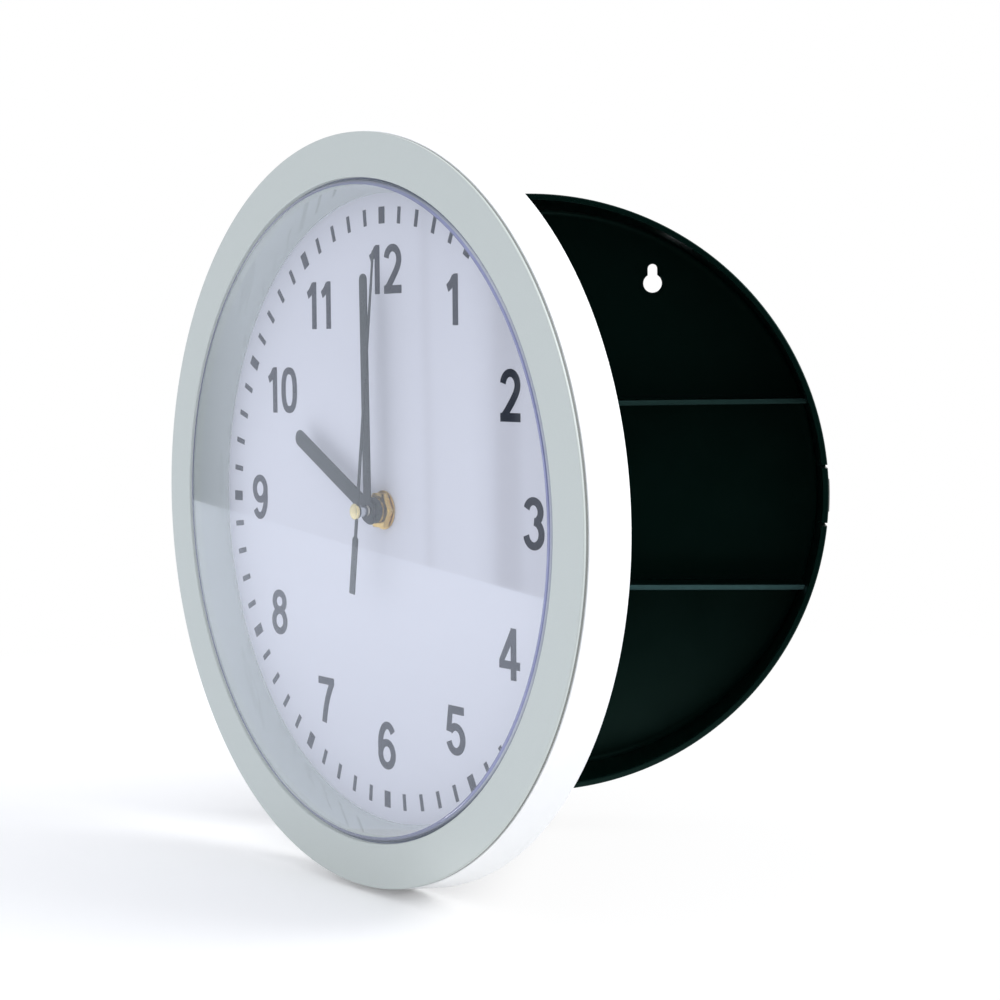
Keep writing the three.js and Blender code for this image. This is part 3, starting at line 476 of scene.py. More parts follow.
# Camera, at the photograph's place
FOCAL = 2134.694  # in pixels, for a picture 1000 pixels wide
PICTURE_WIDTH = 1000
SENSOR_WIDTH = 36
CAMERA_PLACE = Vector((92.114, -825.267, 45.411))
YAW = radians(-7.365)
PITCH = radians(3.402)
ROLL = radians(-0.823)
ahead = Vector((sin(YAW) * cos(PITCH), cos(YAW) * cos(PITCH), -sin(PITCH)))
level = Vector((cos(YAW), -sin(YAW), 0))
top = level.cross(ahead)
right = cos(ROLL) * level + sin(ROLL) * top
up = -sin(ROLL) * level + cos(ROLL) * top
camera_data = bpy.data.cameras.new("camera")
camera_data.sensor_width = SENSOR_WIDTH
camera_data.lens = FOCAL * SENSOR_WIDTH / PICTURE_WIDTH
camera_data.clip_start = 0.01
camera_data.clip_end = 60
camera = linked("camera", camera_data)
camera.matrix_world = Matrix.Translation(CAMERA_PLACE * MM) @ Matrix((right, up, -ahead)).transposed().to_4x4()
bpy.context.scene.camera = camera

# Tray
INNER_RIM = 109.3
INNER_FLOOR = 108.0
TRAY_RIM = 111.6
TRAY_BACK = 110.3
FLOOR_FACE = -2.0
TONGUE_LENGTH = 14
SLIT_OFFSET = 10.65  # from the latch's middle to each slit beside its tongue
SLIT_HALF = 0.6
KNUCKLE_GAP = 8.3  # half the gap between the tray's knuckles, where the clock's knuckle turns
KNUCKLE_END = 20.0
KEYHOLE_X = 45.87
KEYHOLE_Z = 78.99
KEYHOLE_MEET = 59.08  # degrees at which the keyhole's slot leaves its round end
SHELF_HEIGHTS = (33.45, -36.25)
SHELF_FRONT = RIM_PLANE + 14
SHELF_END = 108.9  # radius at which a shelf's ends are buried in the tray's wall


def keyhole_cutter(x):
    """A round hole for a screw's head, with a slot for its shank above it."""
    outline = arc(x, KEYHOLE_Z, 3.6, 180 - KEYHOLE_MEET, 360 + KEYHOLE_MEET, 36)
    outline += arc(x, KEYHOLE_Z + 5.55, 1.85, 0, 180)
    return plate(outline, FLOOR_FACE - 4, 10)


def shelf(z):
    """A tapered shelf with a rounded front edge, whose ends are buried in the tray's wall and floor."""
    root = FLOOR_FACE + 0.5
    section = filleted([(SHELF_FRONT, -0.95, 0.6), (root, -1.3), (root, 1.3), (SHELF_FRONT, 0.95, 0.6)])
    reach = sqrt(SHELF_END ** 2 - z ** 2)
    return skinned([[(x, y, z + height) for y, height in section] for x in (-reach, reach)])


def tray_knuckle(side):
    """A knuckle and the web that carries it, above or below the clock's knuckle."""
    low, high = sorted((side * KNUCKLE_GAP, side * KNUCKLE_END))
    web = box((HINGE.x, HINGE.y - 2.39, low), (-INNER_FLOOR, HINGE.y + 2.39, high), 0.3)
    return [web, on_hinge(rod(KNUCKLE, low, high, fillet=[0.35]))]


def make_tray():
    """The dished tray with its shelves, hinge knuckles, keyholes and the slits beside the spring tongue."""
    dish = turned([
        (0, 0), (TRAY_BACK, 0, 4.0), (TRAY_RIM, RIM_PLANE, 0.55), (INNER_RIM, RIM_PLANE, 0.5),
        (INNER_FLOOR, FLOOR_FACE, 3.0), (0, FLOOR_FACE),
    ], steps=6)
    adds = [shelf(z) for z in SHELF_HEIGHTS]
    cuts = [on_hinge(rod(KNUCKLE + 0.3, -KNUCKLE_GAP, KNUCKLE_GAP)), on_hinge(rod(PIN_BORE, -24, 24))]
    for side in (1, -1):
        adds += tray_knuckle(side)
        slit_z = LATCH_Z + side * SLIT_OFFSET
        cuts.append(box((106, RIM_PLANE - 1, slit_z - SLIT_HALF), (114, RIM_PLANE + TONGUE_LENGTH, slit_z + SLIT_HALF)))
        cuts.append(keyhole_cutter(side * KEYHOLE_X))
    return carved(dish, adds, cuts)


def make_latch_bump():
    """The low wedge on the spring tongue that snaps behind the clock's catch."""
    start = RIM_PLANE + 1.4
    section = filleted([
        (110.9, start), (111.5, start), (111.93, start + 1.0, 0.25), (111.45, start + 2.0), (110.9, start + 2.0),
    ], 3)
    spread = asin(6.0 / TRAY_RIM)
    middle = asin(LATCH_Z / TRAY_RIM)
    rows = []
    for step in range(13):
        angle = middle - spread + 2 * spread * step / 12
        rows.append([(r * cos(angle), y, r * sin(angle)) for r, y in section])
    return skinned(rows)


tray_form = carved(make_tray(), [make_latch_bump()])
for face in tray_form.faces:
    middle, radius, outward = facing(face)
    on_shelf = min(abs(middle.z - z) for z in SHELF_HEIGHTS) < 1.2
    # Painted highlight: the shelves' rounded front edges get the paler materials, the lower shelf the palest.
    if on_shelf and SHELF_FRONT - 0.1 < middle.y < SHELF_FRONT + 0.8 and abs(middle.x) < INNER_FLOOR:
        face.material_index = 1 if middle.z > 0 else 2
    on_wall = outward > 0.5 * radius and radius > 109 and middle.y > RIM_PLANE + 0.7
    on_back = face.normal.y > 0.3 and middle.y > -4.1 and radius < 111
    if on_wall or on_back:
        face.material_index = 3
piece("tray_shell", tray_form, [black_abs, upper_shelf_highlight_abs, lower_shelf_highlight_abs, satin_abs], ["tray"], "storage_tray")

pin = turned([
    (0, -20.6), (1.0, -20.6, 0.25), (1.0, 20.6), (1.9, 20.6, 0.25), (1.9, 21.6, 0.5), (0, 21.6),
], SHAFT_SIDES)
piece("hinge_pin_turned", on_hinge(pin), drawn_steel, ["hinge_pin"], "storage_tray")

# Case: bezel, side ring, lens
BEZEL_INNER = 110.3
BEZEL_OUTER = 125.1
BEZEL_SIDE = 1.6
BEZEL_SHEET = 2.0
CASE_REAR = 127.0
CASE_WALL = 2.0


def case_at(depth):
    """Outer radius of the white case, which widens to its rear."""
    return BEZEL_OUTER + (CASE_REAR - BEZEL_OUTER) * depth / CLOCK_DEPTH


SKIRT_OUTER = case_at(BEZEL_SIDE) - CASE_WALL - 0.3
SKIRT_INNER = SKIRT_OUTER - 1.6
COLLAR_OUTER = 114.5
COLLAR_INNER = 113.3
SCREW_CIRCLE = (COLLAR_OUTER + SKIRT_INNER) / 2
SCREW_PLACES = [(SCREW_CIRCLE * cos(radians(a)), SCREW_CIRCLE * sin(radians(a)))
                for a in (45, 135, 225, 315)]


def make_bezel():
    """The flat ring, with the skirt inside the case, the collar round the lens and four screw bosses."""
    ring = turned([
        (BEZEL_INNER, behind(0), 0.5), (BEZEL_OUTER, behind(0), 0.45), (BEZEL_OUTER, behind(0.85)),
        (BEZEL_OUTER, behind(BEZEL_SIDE), 0.15), (SKIRT_OUTER, behind(BEZEL_SIDE)), (SKIRT_OUTER, behind(6), 0.3),
        (SKIRT_INNER, behind(6), 0.3), (SKIRT_INNER, behind(BEZEL_SHEET)), (COLLAR_OUTER, behind(BEZEL_SHEET)),
        (COLLAR_OUTER, behind(4.0), 0.2), (COLLAR_INNER, behind(4.0), 0.2), (COLLAR_INNER, behind(BEZEL_SHEET)),
        (BEZEL_INNER, behind(BEZEL_SHEET), 0.15),
    ])
    bosses = [placed(rod(3.2, behind(1.4), behind(13.9)), x, z) for x, z in SCREW_PLACES]
    holes = [placed(rod(SCREW_HOLE, behind(6.0), behind(15)), x, z) for x, z in SCREW_PLACES]
    return carved(ring, bosses, holes)


bezel_form = make_bezel()
for face in bezel_form.faces:
    middle, radius, outward = facing(face)
    # Painted shade: the rear part of the bezel's outer side gets the dark rim material.
    if radius > BEZEL_OUTER - 0.1 and behind(0.9) < middle.y < behind(1.7):
        face.material_index = 1
piece("bezel_ring", bezel_form, [silver_lacquer, rim_painted_shade], ["front_bezel"])

side_wall = turned([
    (case_at(1.9) - CASE_WALL, behind(1.9), 0.2), (case_at(1.9), behind(1.9), 0.35),
    (CASE_REAR, behind(CLOCK_DEPTH), 0.5), (CASE_REAR - CASE_WALL, behind(CLOCK_DEPTH), 0.3),
    (case_at(14.06) - CASE_WALL, behind(14.06)), (SKIRT_INNER + 0.3, behind(14.06), 0.2),
    (SKIRT_INNER + 0.3, behind(12.56), 0.2), (case_at(12.56) - CASE_WALL, behind(12.56)),
])
piece("case_side_wall", side_wall, white_abs, ["case_ring"])


def make_lens():
    """The cup: a flat front with a rounded edge, a flange under the bezel, and a skirt down to the dial."""
    end = DIAL_FACE - 0.06
    shape = turned([
        (0, behind(1.4)), (0, behind(0)), (109.9, behind(0), 1.9), (109.9, behind(2.3), 0.15),
        (113.0, behind(2.3), 0.2), (113.0, behind(3.8), 0.2), (109.3, behind(3.8), 0.3), (DIAL_RADIUS, end),
        (LENS_WINDOW, end), (108.04, behind(4.2)), (108.6, behind(1.4), 0.5),
    ], steps=8)
    for face in shape.faces:
        middle, radius, outward = facing(face)
        on_flange = radius > 109.95
        outside_skirt = middle.y > behind(3.7) and outward > 0 and radius > 106.9
        inside_skirt = behind(1.42) < middle.y < behind(4.2) and radius < 108.7
        if on_flange:
            face.material_index = 4
        elif outside_skirt or inside_skirt:
            face.material_index = 1
        elif outward > 0 and LENS_FLAT + 0.12 < radius < LENS_FLAT + 1.15 and middle.y < behind(0.4):
            face.material_index = 2
        elif outward > 0 and radius > LENS_FLAT + 1.0 and middle.y < behind(2.3):
            face.material_index = 3
    return shape


lens = piece("lens_cup", make_lens(), [clear_lens, frosted_skirt, lens_edge, lens_shoulder, flange_shade],
             ["lens"])
# Light reaches the dial as through real clear plastic, which a renderer's glass would hold back
lens.visible_shadow = False
lens.visible_diffuse = False

# Dial and its printing
INK = 0.06  # thickness of the printed film
INK_SUNK = 0.05  # how far the film reaches into the card
STROKE = 3.0
LEVEL_STROKE = 2.5  # level strokes of the numerals are thinner than upright ones
DIGIT_MIDDLE = 8.2
TICK_INNER = 95.8
TICK_OUTER = 101.4

piece("dial_sheet", turned([
    (DIAL_RADIUS, DIAL_FACE), (DIAL_RADIUS, DIAL_BACK), (BUSH_HOLE, DIAL_BACK), (BUSH_HOLE, DIAL_FACE),
]), dial_card, ["dial"])


def film(outline, holes=()):
    """A print of an outline on the dial's face."""
    return plate(outline, DIAL_FACE - INK, INK + INK_SUNK, holes)


def stroke_sides(points, closed=False):
    """The left and right side of a stroke along points; of a closed one, the inner and the outer side."""
    path = [Vector(point) for point in points]
    left_side, right_side = [], []
    for i, point in enumerate(path):
        if closed:
            along = (path[(i + 1) % len(path)] - path[i - 1]).normalized()
        else:
            along = (path[min(i + 1, len(path) - 1)] - path[max(i - 1, 0)]).normalized()
        across = Vector((-along.y, along.x))
        half = (LEVEL_STROKE + (STROKE - LEVEL_STROKE) * abs(along.y) ** 1.5) / 2
        left_side.append(tuple(point + across * half))
        right_side.append(tuple(point - across * half))
    return left_side, right_side


# The numerals, 16.4 mm high from the baseline: bars are whole outlines, strokes and closed rings are drawn along
DIGITS = {
    "0": {"rings": [oval(0, 8.2, 3.9, 6.95, power=2.5)]},
    "1": {"bars": [[(0.2, 0), (3.2, 0), (3.2, 16.4), (0.75, 16.4), (0.2, 15.3)]],
          "strokes": [bow((1.3, 15.4), (-0.2, 13.0), (-2.6, 11.9))]},
    "2": {"strokes": [arc(0, 11.35, 3.75, 172, -25, high=3.8) + bow((3.2, 9.2), (1.6, 6.6), (-3.6, 1.4))[1:]],
          "bars": [oblong(-5.2, 0, 5.2, 2.75)]},
    "3": {"strokes": [arc(-0.1, 11.85, 3.55, 165, -80, high=3.3), arc(0, 5.05, 3.9, 88, -170, high=3.8)]},
    "4": {"bars": [oblong(0.6, 0, 3.5, 16.4), oblong(-5.4, 3.4, 5.4, 6.0),
                   [(-5.4, 6.0), (-5.4, 4.6), (-3.6, 4.6), (2.2, 13.2), (2.2, 16.4), (0.9, 16.4)]]},
    "5": {"bars": [oblong(-3.7, 13.5, 4.6, 16.2), [(-4.0, 16.2), (-5.3, 7.6), (-2.6, 7.3), (-1.4, 16.2)]],
          "strokes": [arc(0, 5.3, 3.9, 142, -165, 28, 4.05)]},
    "6": {"rings": [oval(0.1, 5.2, 3.85, 3.95)], "strokes": [arc(0.5, 8.2, 4.3, 195, 42, 28, 6.95)]},
    "7": {"bars": [oblong(-5.1, 13.6, 5.2, 16.2)],
          "strokes": [bow((4.2, 14.9), (-0.2, 8.5), (-1.4, 0))]},
    "8": {"rings": [oval(0, 12.1, 3.45, 3.05), oval(0, 5.0, 3.9, 3.75)]},
}
# Middles of the hour numerals on the dial
HOURS = {
    "12": (0.8, 80.6), "1": (40.4, 69.6), "2": (71.0, 39.4), "3": (82.6, 0.3), "4": (69.8, -41.2),
    "5": (40.4, -69.4), "6": (-0.2, -80.2), "7": (-38.6, -69.4), "8": (-70.0, -41.2), "9": (-82.7, 0.2),
    "10": (-67.0, 39.6), "11": (-40.4, 69.4),
}
DIGIT_PITCH = {"12": 11.0, "10": 11.6, "11": 9.4}


def digit_shape(digit, x, z):
    """One numeral as a thin film in front of the dial, about its own middle; a 9 is a 6 turned upside down."""
    turn = -1 if digit == "9" else 1
    form = DIGITS["6" if digit == "9" else digit]

    def put(points):
        return [(x + turn * a, z + turn * (b - DIGIT_MIDDLE)) for a, b in points]

    films = [film(put(bar)) for bar in form.get("bars", [])]
    for stroke in form.get("strokes", []):
        left_side, right_side = stroke_sides(stroke)
        films.append(film(put(left_side + right_side[::-1])))
    for ring in form.get("rings", []):
        inner, outer = stroke_sides(ring, closed=True)
        films.append(film(put(outer), [put(inner)]))
    first, *others = films
    return carved(first, others) if others else first


def make_printing():
    """All numerals and the sixty ticks, turned with the dial."""
    films = []
    for label, (x, z) in HOURS.items():
        for index, digit in enumerate(label):
            shift = (index - (len(label) - 1) / 2) * DIGIT_PITCH.get(label, 0)
            films.append(digit_shape(digit, x + shift, z))
    for minute in range(60):
        half = (3.6 if minute % 5 == 0 else 1.9) / 2
        tick = film(oblong(-half, TICK_INNER, half, TICK_OUTER))
        films.append(moved(tick, Matrix.Rotation(radians(-6 * minute), 4, "Y").inverted()))
    return moved(joined(*films), Matrix.Rotation(DIAL_TURN, 4, "Y"))


piece("dial_print", make_printing(), printing_ink, ())

# Back plate of the clock
MOVEMENT_HALF_X = 28.0
MOVEMENT_HALF_Z = 27.8
PLATE_KNUCKLE = 8  # half the length of the clock's knuckle
CATCH_FRONT = -37.2
CATCH_OUTER = 114.25
CATCH_INNER = 112.25
PLATE_RIM = 14.36  # depth of the plate's stepped rim
RIM_BACK = -36.6


def make_back_plate():
    """The plate with its stepped rim, the latch's catch, the hinge knuckle and the rib round the movement."""
    rim_outer = case_at(PLATE_RIM) - 2.5
    disc = turned([
        (0, PLATE_FRONT), (107.4, PLATE_FRONT, 0.3), (107.4, behind(PLATE_RIM), 0.3),
        (rim_outer, behind(PLATE_RIM), 0.2), (rim_outer, RIM_BACK, 0.3), (108.3, RIM_BACK, 0.3),
        (108.3, PLATE_BACK, 0.6), (0, PLATE_BACK),
    ])
    half = asin(9.0 / CATCH_OUTER)
    middle = asin(LATCH_Z / CATCH_OUTER)
    first, last = degrees(middle - half), degrees(middle + half)
    catch = arc(0, 0, CATCH_OUTER, first, last, 24) + arc(0, 0, CATCH_INNER, last, first, 24)
    rib = rounded_square(MOVEMENT_HALF_X + 1.7, MOVEMENT_HALF_Z + 1.7, 4.4)
    rib_hole = rounded_square(MOVEMENT_HALF_X + 0.3, MOVEMENT_HALF_Z + 0.3, 3.0)
    adds = [
        plate(catch, CATCH_FRONT, 4.7, (), 0.25),
        box((HINGE.x - KNUCKLE, CATCH_FRONT, -PLATE_KNUCKLE), (HINGE.x + 1.6, HINGE.y, PLATE_KNUCKLE), 0.3),
        on_hinge(rod(KNUCKLE, -PLATE_KNUCKLE, PLATE_KNUCKLE, fillet=[0.35])),
        plate(rib, PLATE_BACK - 0.6, 3.0, [rib_hole], 0.25),
    ]
    cuts = [rod(BUSH_HOLE, -40, -30), on_hinge(rod(PIN_BORE, -10, 10))]
    cuts += [placed(rod(SCREW_HOLE, -42, -30), x, z) for x, z in SCREW_PLACES]
    return carved(disc, adds, cuts)


piece("back_plate_moulding", make_back_plate(), etched_abs, ["back_plate"])


def make_screw(x, z):
    """A slotted pan-head screw with a cut thread."""
    head = -36.3
    tip = head - 8.0
    core, crest, pitch, threads = 0.95, 1.3, 0.72, 9
    profile = [(0, tip), (0.55, tip + 0.15)]
    for thread in range(threads):
        y = tip + 0.8 + thread * pitch
        profile += [(crest, y + 0.18), (core, y + 0.5)]
    profile += [(core, head), (2.8, head), (2.8, head + 0.7), (2.55, head + 1.2), (1.9, head + 1.5), (0, head + 1.6)]
    slot = box((-4, head + 0.8, -0.45), (4, head + 3, 0.45))
    return placed(carved(turned(profile, SHAFT_SIDES), cuts=[slot]), x, z)


for number, (screw_x, screw_z) in enumerate(SCREW_PLACES, 1):
    piece(f"case_screw_{number}_turned", make_screw(screw_x, screw_z), zinc_steel,
          [f"case_screw_{number}"])

# Quartz movement
TUB_X = 26.8
TUB_TOP = 26.6
TUB_FLOOR = MOVEMENT_FRONT + 1.2
CHAMBER_FLOOR = -10.6
BAY_ROOF = -11.8
WORKS_FRONT = MOVEMENT_FRONT + 1.5
CLEARANCE = 0.3  # between the tub and what is put into it
BATTERY_RADIUS = 7.1
BATTERY_Y = WORKS_FRONT + BATTERY_RADIUS
BATTERY_Z = -19.2


def make_movement_case():
    """A tub, open behind, with the battery's bay below and a chamber for the works above."""
    outer = plate(rounded_square(MOVEMENT_HALF_X, MOVEMENT_HALF_Z, 3.0), MOVEMENT_FRONT, 15.0, (), 0.4)
    return carved(outer, cuts=[
        box((-TUB_X, TUB_FLOOR, -TUB_TOP), (TUB_X, MOVEMENT_BACK + 2, BAY_ROOF)),
        box((-TUB_X, TUB_FLOOR, CHAMBER_FLOOR), (TUB_X, MOVEMENT_BACK + 2, TUB_TOP)),
        rod(BUSH_HOLE, -36, -32),
    ])


piece("movement_tub", make_movement_case(), etched_abs, ["movement_case"])

lid = oblong(-TUB_X + CLEARANCE, CHAMBER_FLOOR + CLEARANCE, TUB_X - CLEARANCE, TUB_TOP - CLEARANCE)
piece("movement_lid", plate(lid, MOVEMENT_BACK - 1.5, 1.5, [round_outline(2.1, 36)], 0.25), etched_abs,
      ["movement_cover"])

board = box((12.5, WORKS_FRONT, CHAMBER_FLOOR + 7), (TUB_X - CLEARANCE, WORKS_FRONT + 1.0, TUB_TOP - CLEARANCE), 0.12)
piece("circuit_board_panel", board, solder_mask, ["circuit_board"])


def make_coil():
    """Wire wound in ridges between two flanges."""
    flange, wound, turns = 3.9, 3.0, 36
    profile = [(0, 0), (flange, 0), (flange, 1.0), (wound, 1.0)]
    for turn in range(turns):
        x = 1.0 + 18.0 * (turn + 0.5) / turns
        profile += [(wound, x - 0.22), (wound + 0.2, x), (wound, x + 0.22)]
    profile += [(wound, 19.0), (flange, 19.0), (flange, 20.0), (0, 20.0)]
    return lying(turned(profile, SHAFT_SIDES), (-TUB_X + 1.2, WORKS_FRONT + flange, TUB_TOP - 1.2 - flange))


piece("drive_coil_winding", make_coil(), copper_wire, ["drive_coil"])


def make_contact(side):
    """A strip on the bay's end wall, bowed towards the battery."""
    wall = TUB_X - CLEARANCE
    low, high = WORKS_FRONT, MOVEMENT_BACK - 0.5
    outline = [(wall, low), (wall, high)]
    outline += bow((wall - 0.5, high), (wall - 1.7, (low + high) / 2), (wall - 0.5, low), 12)
    return skinned([[(side * x, y, z) for x, y in outline] for z in (BATTERY_Z - 3.5, BATTERY_Z + 3.5)])


for sign, side in (("plus", 1), ("minus", -1)):
    piece(f"contact_{sign}_strip", make_contact(side), zinc_steel, [f"contact_{sign}"])


def make_battery():
    """A cell in a film jacket that is shrunk over both shoulders, with the steel cap and base left bare."""
    end = 25.1
    cell = turned([
        (0, -end), (6.2, -end, 0.2), (6.35, -end + 0.25), (BATTERY_RADIUS, -end + 0.3, 0.5),
        (BATTERY_RADIUS, end - 1.4, 0.6), (4.2, end - 1.25), (4.1, end - 1.4), (2.6, end - 1.35),
        (2.6, end, 0.35), (0, end),
    ], SHAFT_SIDES)
    shape = lying(cell, (0, BATTERY_Y, BATTERY_Z))
    for face in shape.faces:
        middle = face.calc_center_median()
        radius = hypot(middle.y - BATTERY_Y, middle.z - BATTERY_Z)
        bare = (middle.x > 0 and radius < 4.15) or (middle.x < 0 and radius < 6.3)
        face.material_index = 1 if bare else 0
    return shape


piece("battery_cell", make_battery(), [battery_film, zinc_steel], ["battery"], "battery")

# Wheels, pipes, bush and nut
HOUR_WHEEL = WORKS_FRONT + 0.8 + 0.3
MINUTE_WHEEL = HOUR_WHEEL + 1.3
SECOND_WHEEL = MINUTE_WHEEL + 1.3
GEAR_TOOTH = ((0.0, -0.7), (0.22, -0.62), (0.38, -0.08), (0.5, 0.0), (0.62, -0.08), (0.78, -0.62))
KNOB_FLUTE = ((0.0, 0.0), (0.3, 0.0), (0.45, -0.38), (0.65, -0.5), (0.85, -0.38))


def wheel(radius, front, bore):
    """A moulded wheel with fine rounded teeth."""
    return plate(toothed(radius, 48, GEAR_TOOTH), front, 1.0, [round_outline(bore)])


def pipe(radius, bore, front, back):
    return turned([(bore, front, 0.08), (radius, front, 0.15), (radius, back), (bore, back)], SHAFT_SIDES, 3)


hour_pipe = joined(wheel(8.0, HOUR_WHEEL, 2.2), pipe(2.9, 2.2, above(6.15), HOUR_WHEEL + 0.2))
piece("hour_pipe_wheel", hour_pipe, white_nylon, ["hour_pipe"], "hour_train")
minute_pipe = joined(wheel(9.0, MINUTE_WHEEL, 0.86), pipe(1.6, 0.85, above(7.45), MINUTE_WHEEL + 0.2))
piece("minute_pipe_wheel", minute_pipe, white_nylon, ["minute_pipe"], "minute_train")
second_arbor = joined(wheel(10.0, SECOND_WHEEL, 0.5), rod(0.55, above(11.7), MOVEMENT_BACK, fillet=[0.12]))
piece("second_arbor_wheel", second_arbor, drawn_steel, ["second_arbor"], "second_train")
setting_knob = joined(plate(toothed(6.5, 24, KNOB_FLUTE), MOVEMENT_BACK + 0.3, 2.2, (), 0.2),
                      rod(1.8, SECOND_WHEEL + 1.3, MOVEMENT_BACK + 0.6, 0.85))
piece("setting_knob_fluted", setting_knob, white_nylon, ["setting_knob"], "setting_knob")


def make_bush():
    """A threaded brass bush: the thread is cut as fine rings, with the end chamfered."""
    end = above(3.4)
    profile = [(3.2, end), (3.7, end), (BUSH_RADIUS, end + 0.3)]
    y = end + 0.45
    while y < PLATE_BACK - 1.0:
        profile += [(3.72, y), (BUSH_RADIUS, y + 0.2), (BUSH_RADIUS, y + 0.3)]
        y += 0.5
    profile += [(BUSH_RADIUS, WORKS_FRONT), (5.5, WORKS_FRONT), (5.5, WORKS_FRONT + 0.8), (3.2, WORKS_FRONT + 0.8)]
    return turned(profile, NUT_SIDES)


piece("bush_threaded", make_bush(), turned_brass, ["threaded_bush"])
washer = turned([
    (BUSH_HOLE, above(0.7), 0.05), (6.6, above(0.7), 0.1), (6.6, above(0.3), 0.1), (BUSH_HOLE, above(0.3), 0.05),
], NUT_SIDES, 3)
piece("bush_washer_ring", washer, turned_brass, ["bush_washer"])


def make_nut():
    """A hexagon nut, chamfered in front where it was turned."""
    cone = turned([
        (BUSH_HOLE, above(3.0)), (5.6, above(3.0)), (6.8, above(2.45)), (6.8, above(1.0)), (BUSH_HOLE, above(1.0)),
    ], NUT_SIDES)
    return carved(plate(round_outline(6.6, 6), above(3.0), 2.0), within=[cone])


piece("bush_nut_chamfered", make_nut(), turned_brass, ["bush_nut"])

# Hands
MINUTE_ANGLE = radians(-0.2)
HOUR_ANGLE = radians(298.2)
SECOND_ANGLE = radians(8.2)


def hand_outline(length, width, boss):
    """A flat hand with a round tip, that widens to its boss."""
    half = width / 2
    meet = sqrt(boss ** 2 - half ** 2)
    points = arc(0, length - half, half, 0, 180, 14)
    points.append((-half, meet + 0.6))
    start = degrees(atan2(meet, -half))
    points += arc(0, 0, boss, start, 360 + degrees(atan2(meet, half)), 40)
    points.append((half, meet + 0.6))
    return points


def hand(sort, form, shape, angle):
    """Turns a hand to the time that it shows, and paints it."""
    piece(f"{sort}_hand_{form}", moved(shape, Matrix.Rotation(angle, 4, "Y")), hand_paint, [f"{sort}_hand"],
          f"{sort}_train")


hour_blade = plate(hand_outline(52.8, 5.8, 4.7), above(6.15), 0.5, [round_outline(3.2)], 0.12)
hour_collar = turned([
    (3.2, above(5.75)), (4.4, above(5.75)), (4.4, above(3.85)), (4.3, above(3.75)), (3.2, above(3.75)),
], SHAFT_SIDES)
hand("hour", "blade", joined(hour_blade, hour_collar), HOUR_ANGLE)
minute_blade = plate(hand_outline(79.1, 4.3, 4.0), above(7.15), 0.5, [round_outline(1.9)], 0.12)
hand("minute", "blade", minute_blade, MINUTE_ANGLE)


def make_second_hand():
    """A fine pointer with a counterweight tail."""
    tip, boss, neck, tail = 0.45, 2.4, 0.75, 1.6
    points = arc(0, 87 - tip, tip, 0, 180, 8)
    points += [(-neck, 2.3)] + arc(0, 0, boss, 108.2, 251.8)
    points += [(-neck, -2.6), (-neck, -8.6), (-tail, -9.35), (-tail, -28.0), (-1.4, -28.2)]
    points += [(1.4, -28.2), (tail, -28.0), (tail, -9.35), (neck, -8.6), (neck, -2.6)]
    points += arc(0, 0, boss, 288.2, 431.8) + [(neck, 2.3)]
    return plate(points, above(11.2), 0.4, [round_outline(0.85, 24)], 0.08)


hand("second", "pointer", make_second_hand(), SECOND_ANGLE)
tube = turned([
    (0.85, above(10.5)), (1.9, above(10.5), 0.15), (1.9, above(7.75), 0.15), (0.85, above(7.75)),
], SHAFT_SIDES, 3)
piece("second_tube_turned", tube, drawn_steel, ["second_tube"], "second_train")
cap = turned([
    (0, above(12.4)), (2.7, above(12.4), 0.4), (2.7, above(11.5), 0.12), (0.85, above(11.5)), (0.85, above(12.0)),
    (0, above(12.0)),
], SHAFT_SIDES)
piece("second_cap_turned", cap, polished_brass, ["second_cap"], "second_train")

# Studio
FLOOR_HEIGHT = -127.1
CARD_FOOT = -127
CARD_TOP = 2600
ROOM_LEFT = -3600
ROOM_FRONT = -2400
WHITE = linear("#ffffff")


def staged_plane(name, corners, material):
    mesh = bpy.data.meshes.new(name)
    mesh.from_pydata([tuple(Vector(corner) * MM) for corner in corners], [], [tuple(range(len(corners)))])
    mesh.materials.append(material)
    item = linked(name, mesh)
    return item


def flat_at(height, corners):
    return [(x, y, height) for x, y in corners]


def upright(start, stop, foot=CARD_FOOT, top=CARD_TOP):
    return [(*start, foot), (*stop, foot), (*stop, top), (*start, top)]


def seen_directly(tree):
    """1 where the camera, glass or metal looks at a surface, 0 where a matt surface takes light from it."""
    path = node(tree, "LightPath").outputs
    seen = node(tree, "Math", {0: path["Is Camera Ray"], 1: path["Is Glossy Ray"]}, operation="MAXIMUM")
    seen = node(tree, "Math", {0: seen.outputs[0], 1: path["Is Transmission Ray"]}, operation="MAXIMUM")
    return seen.outputs[0]


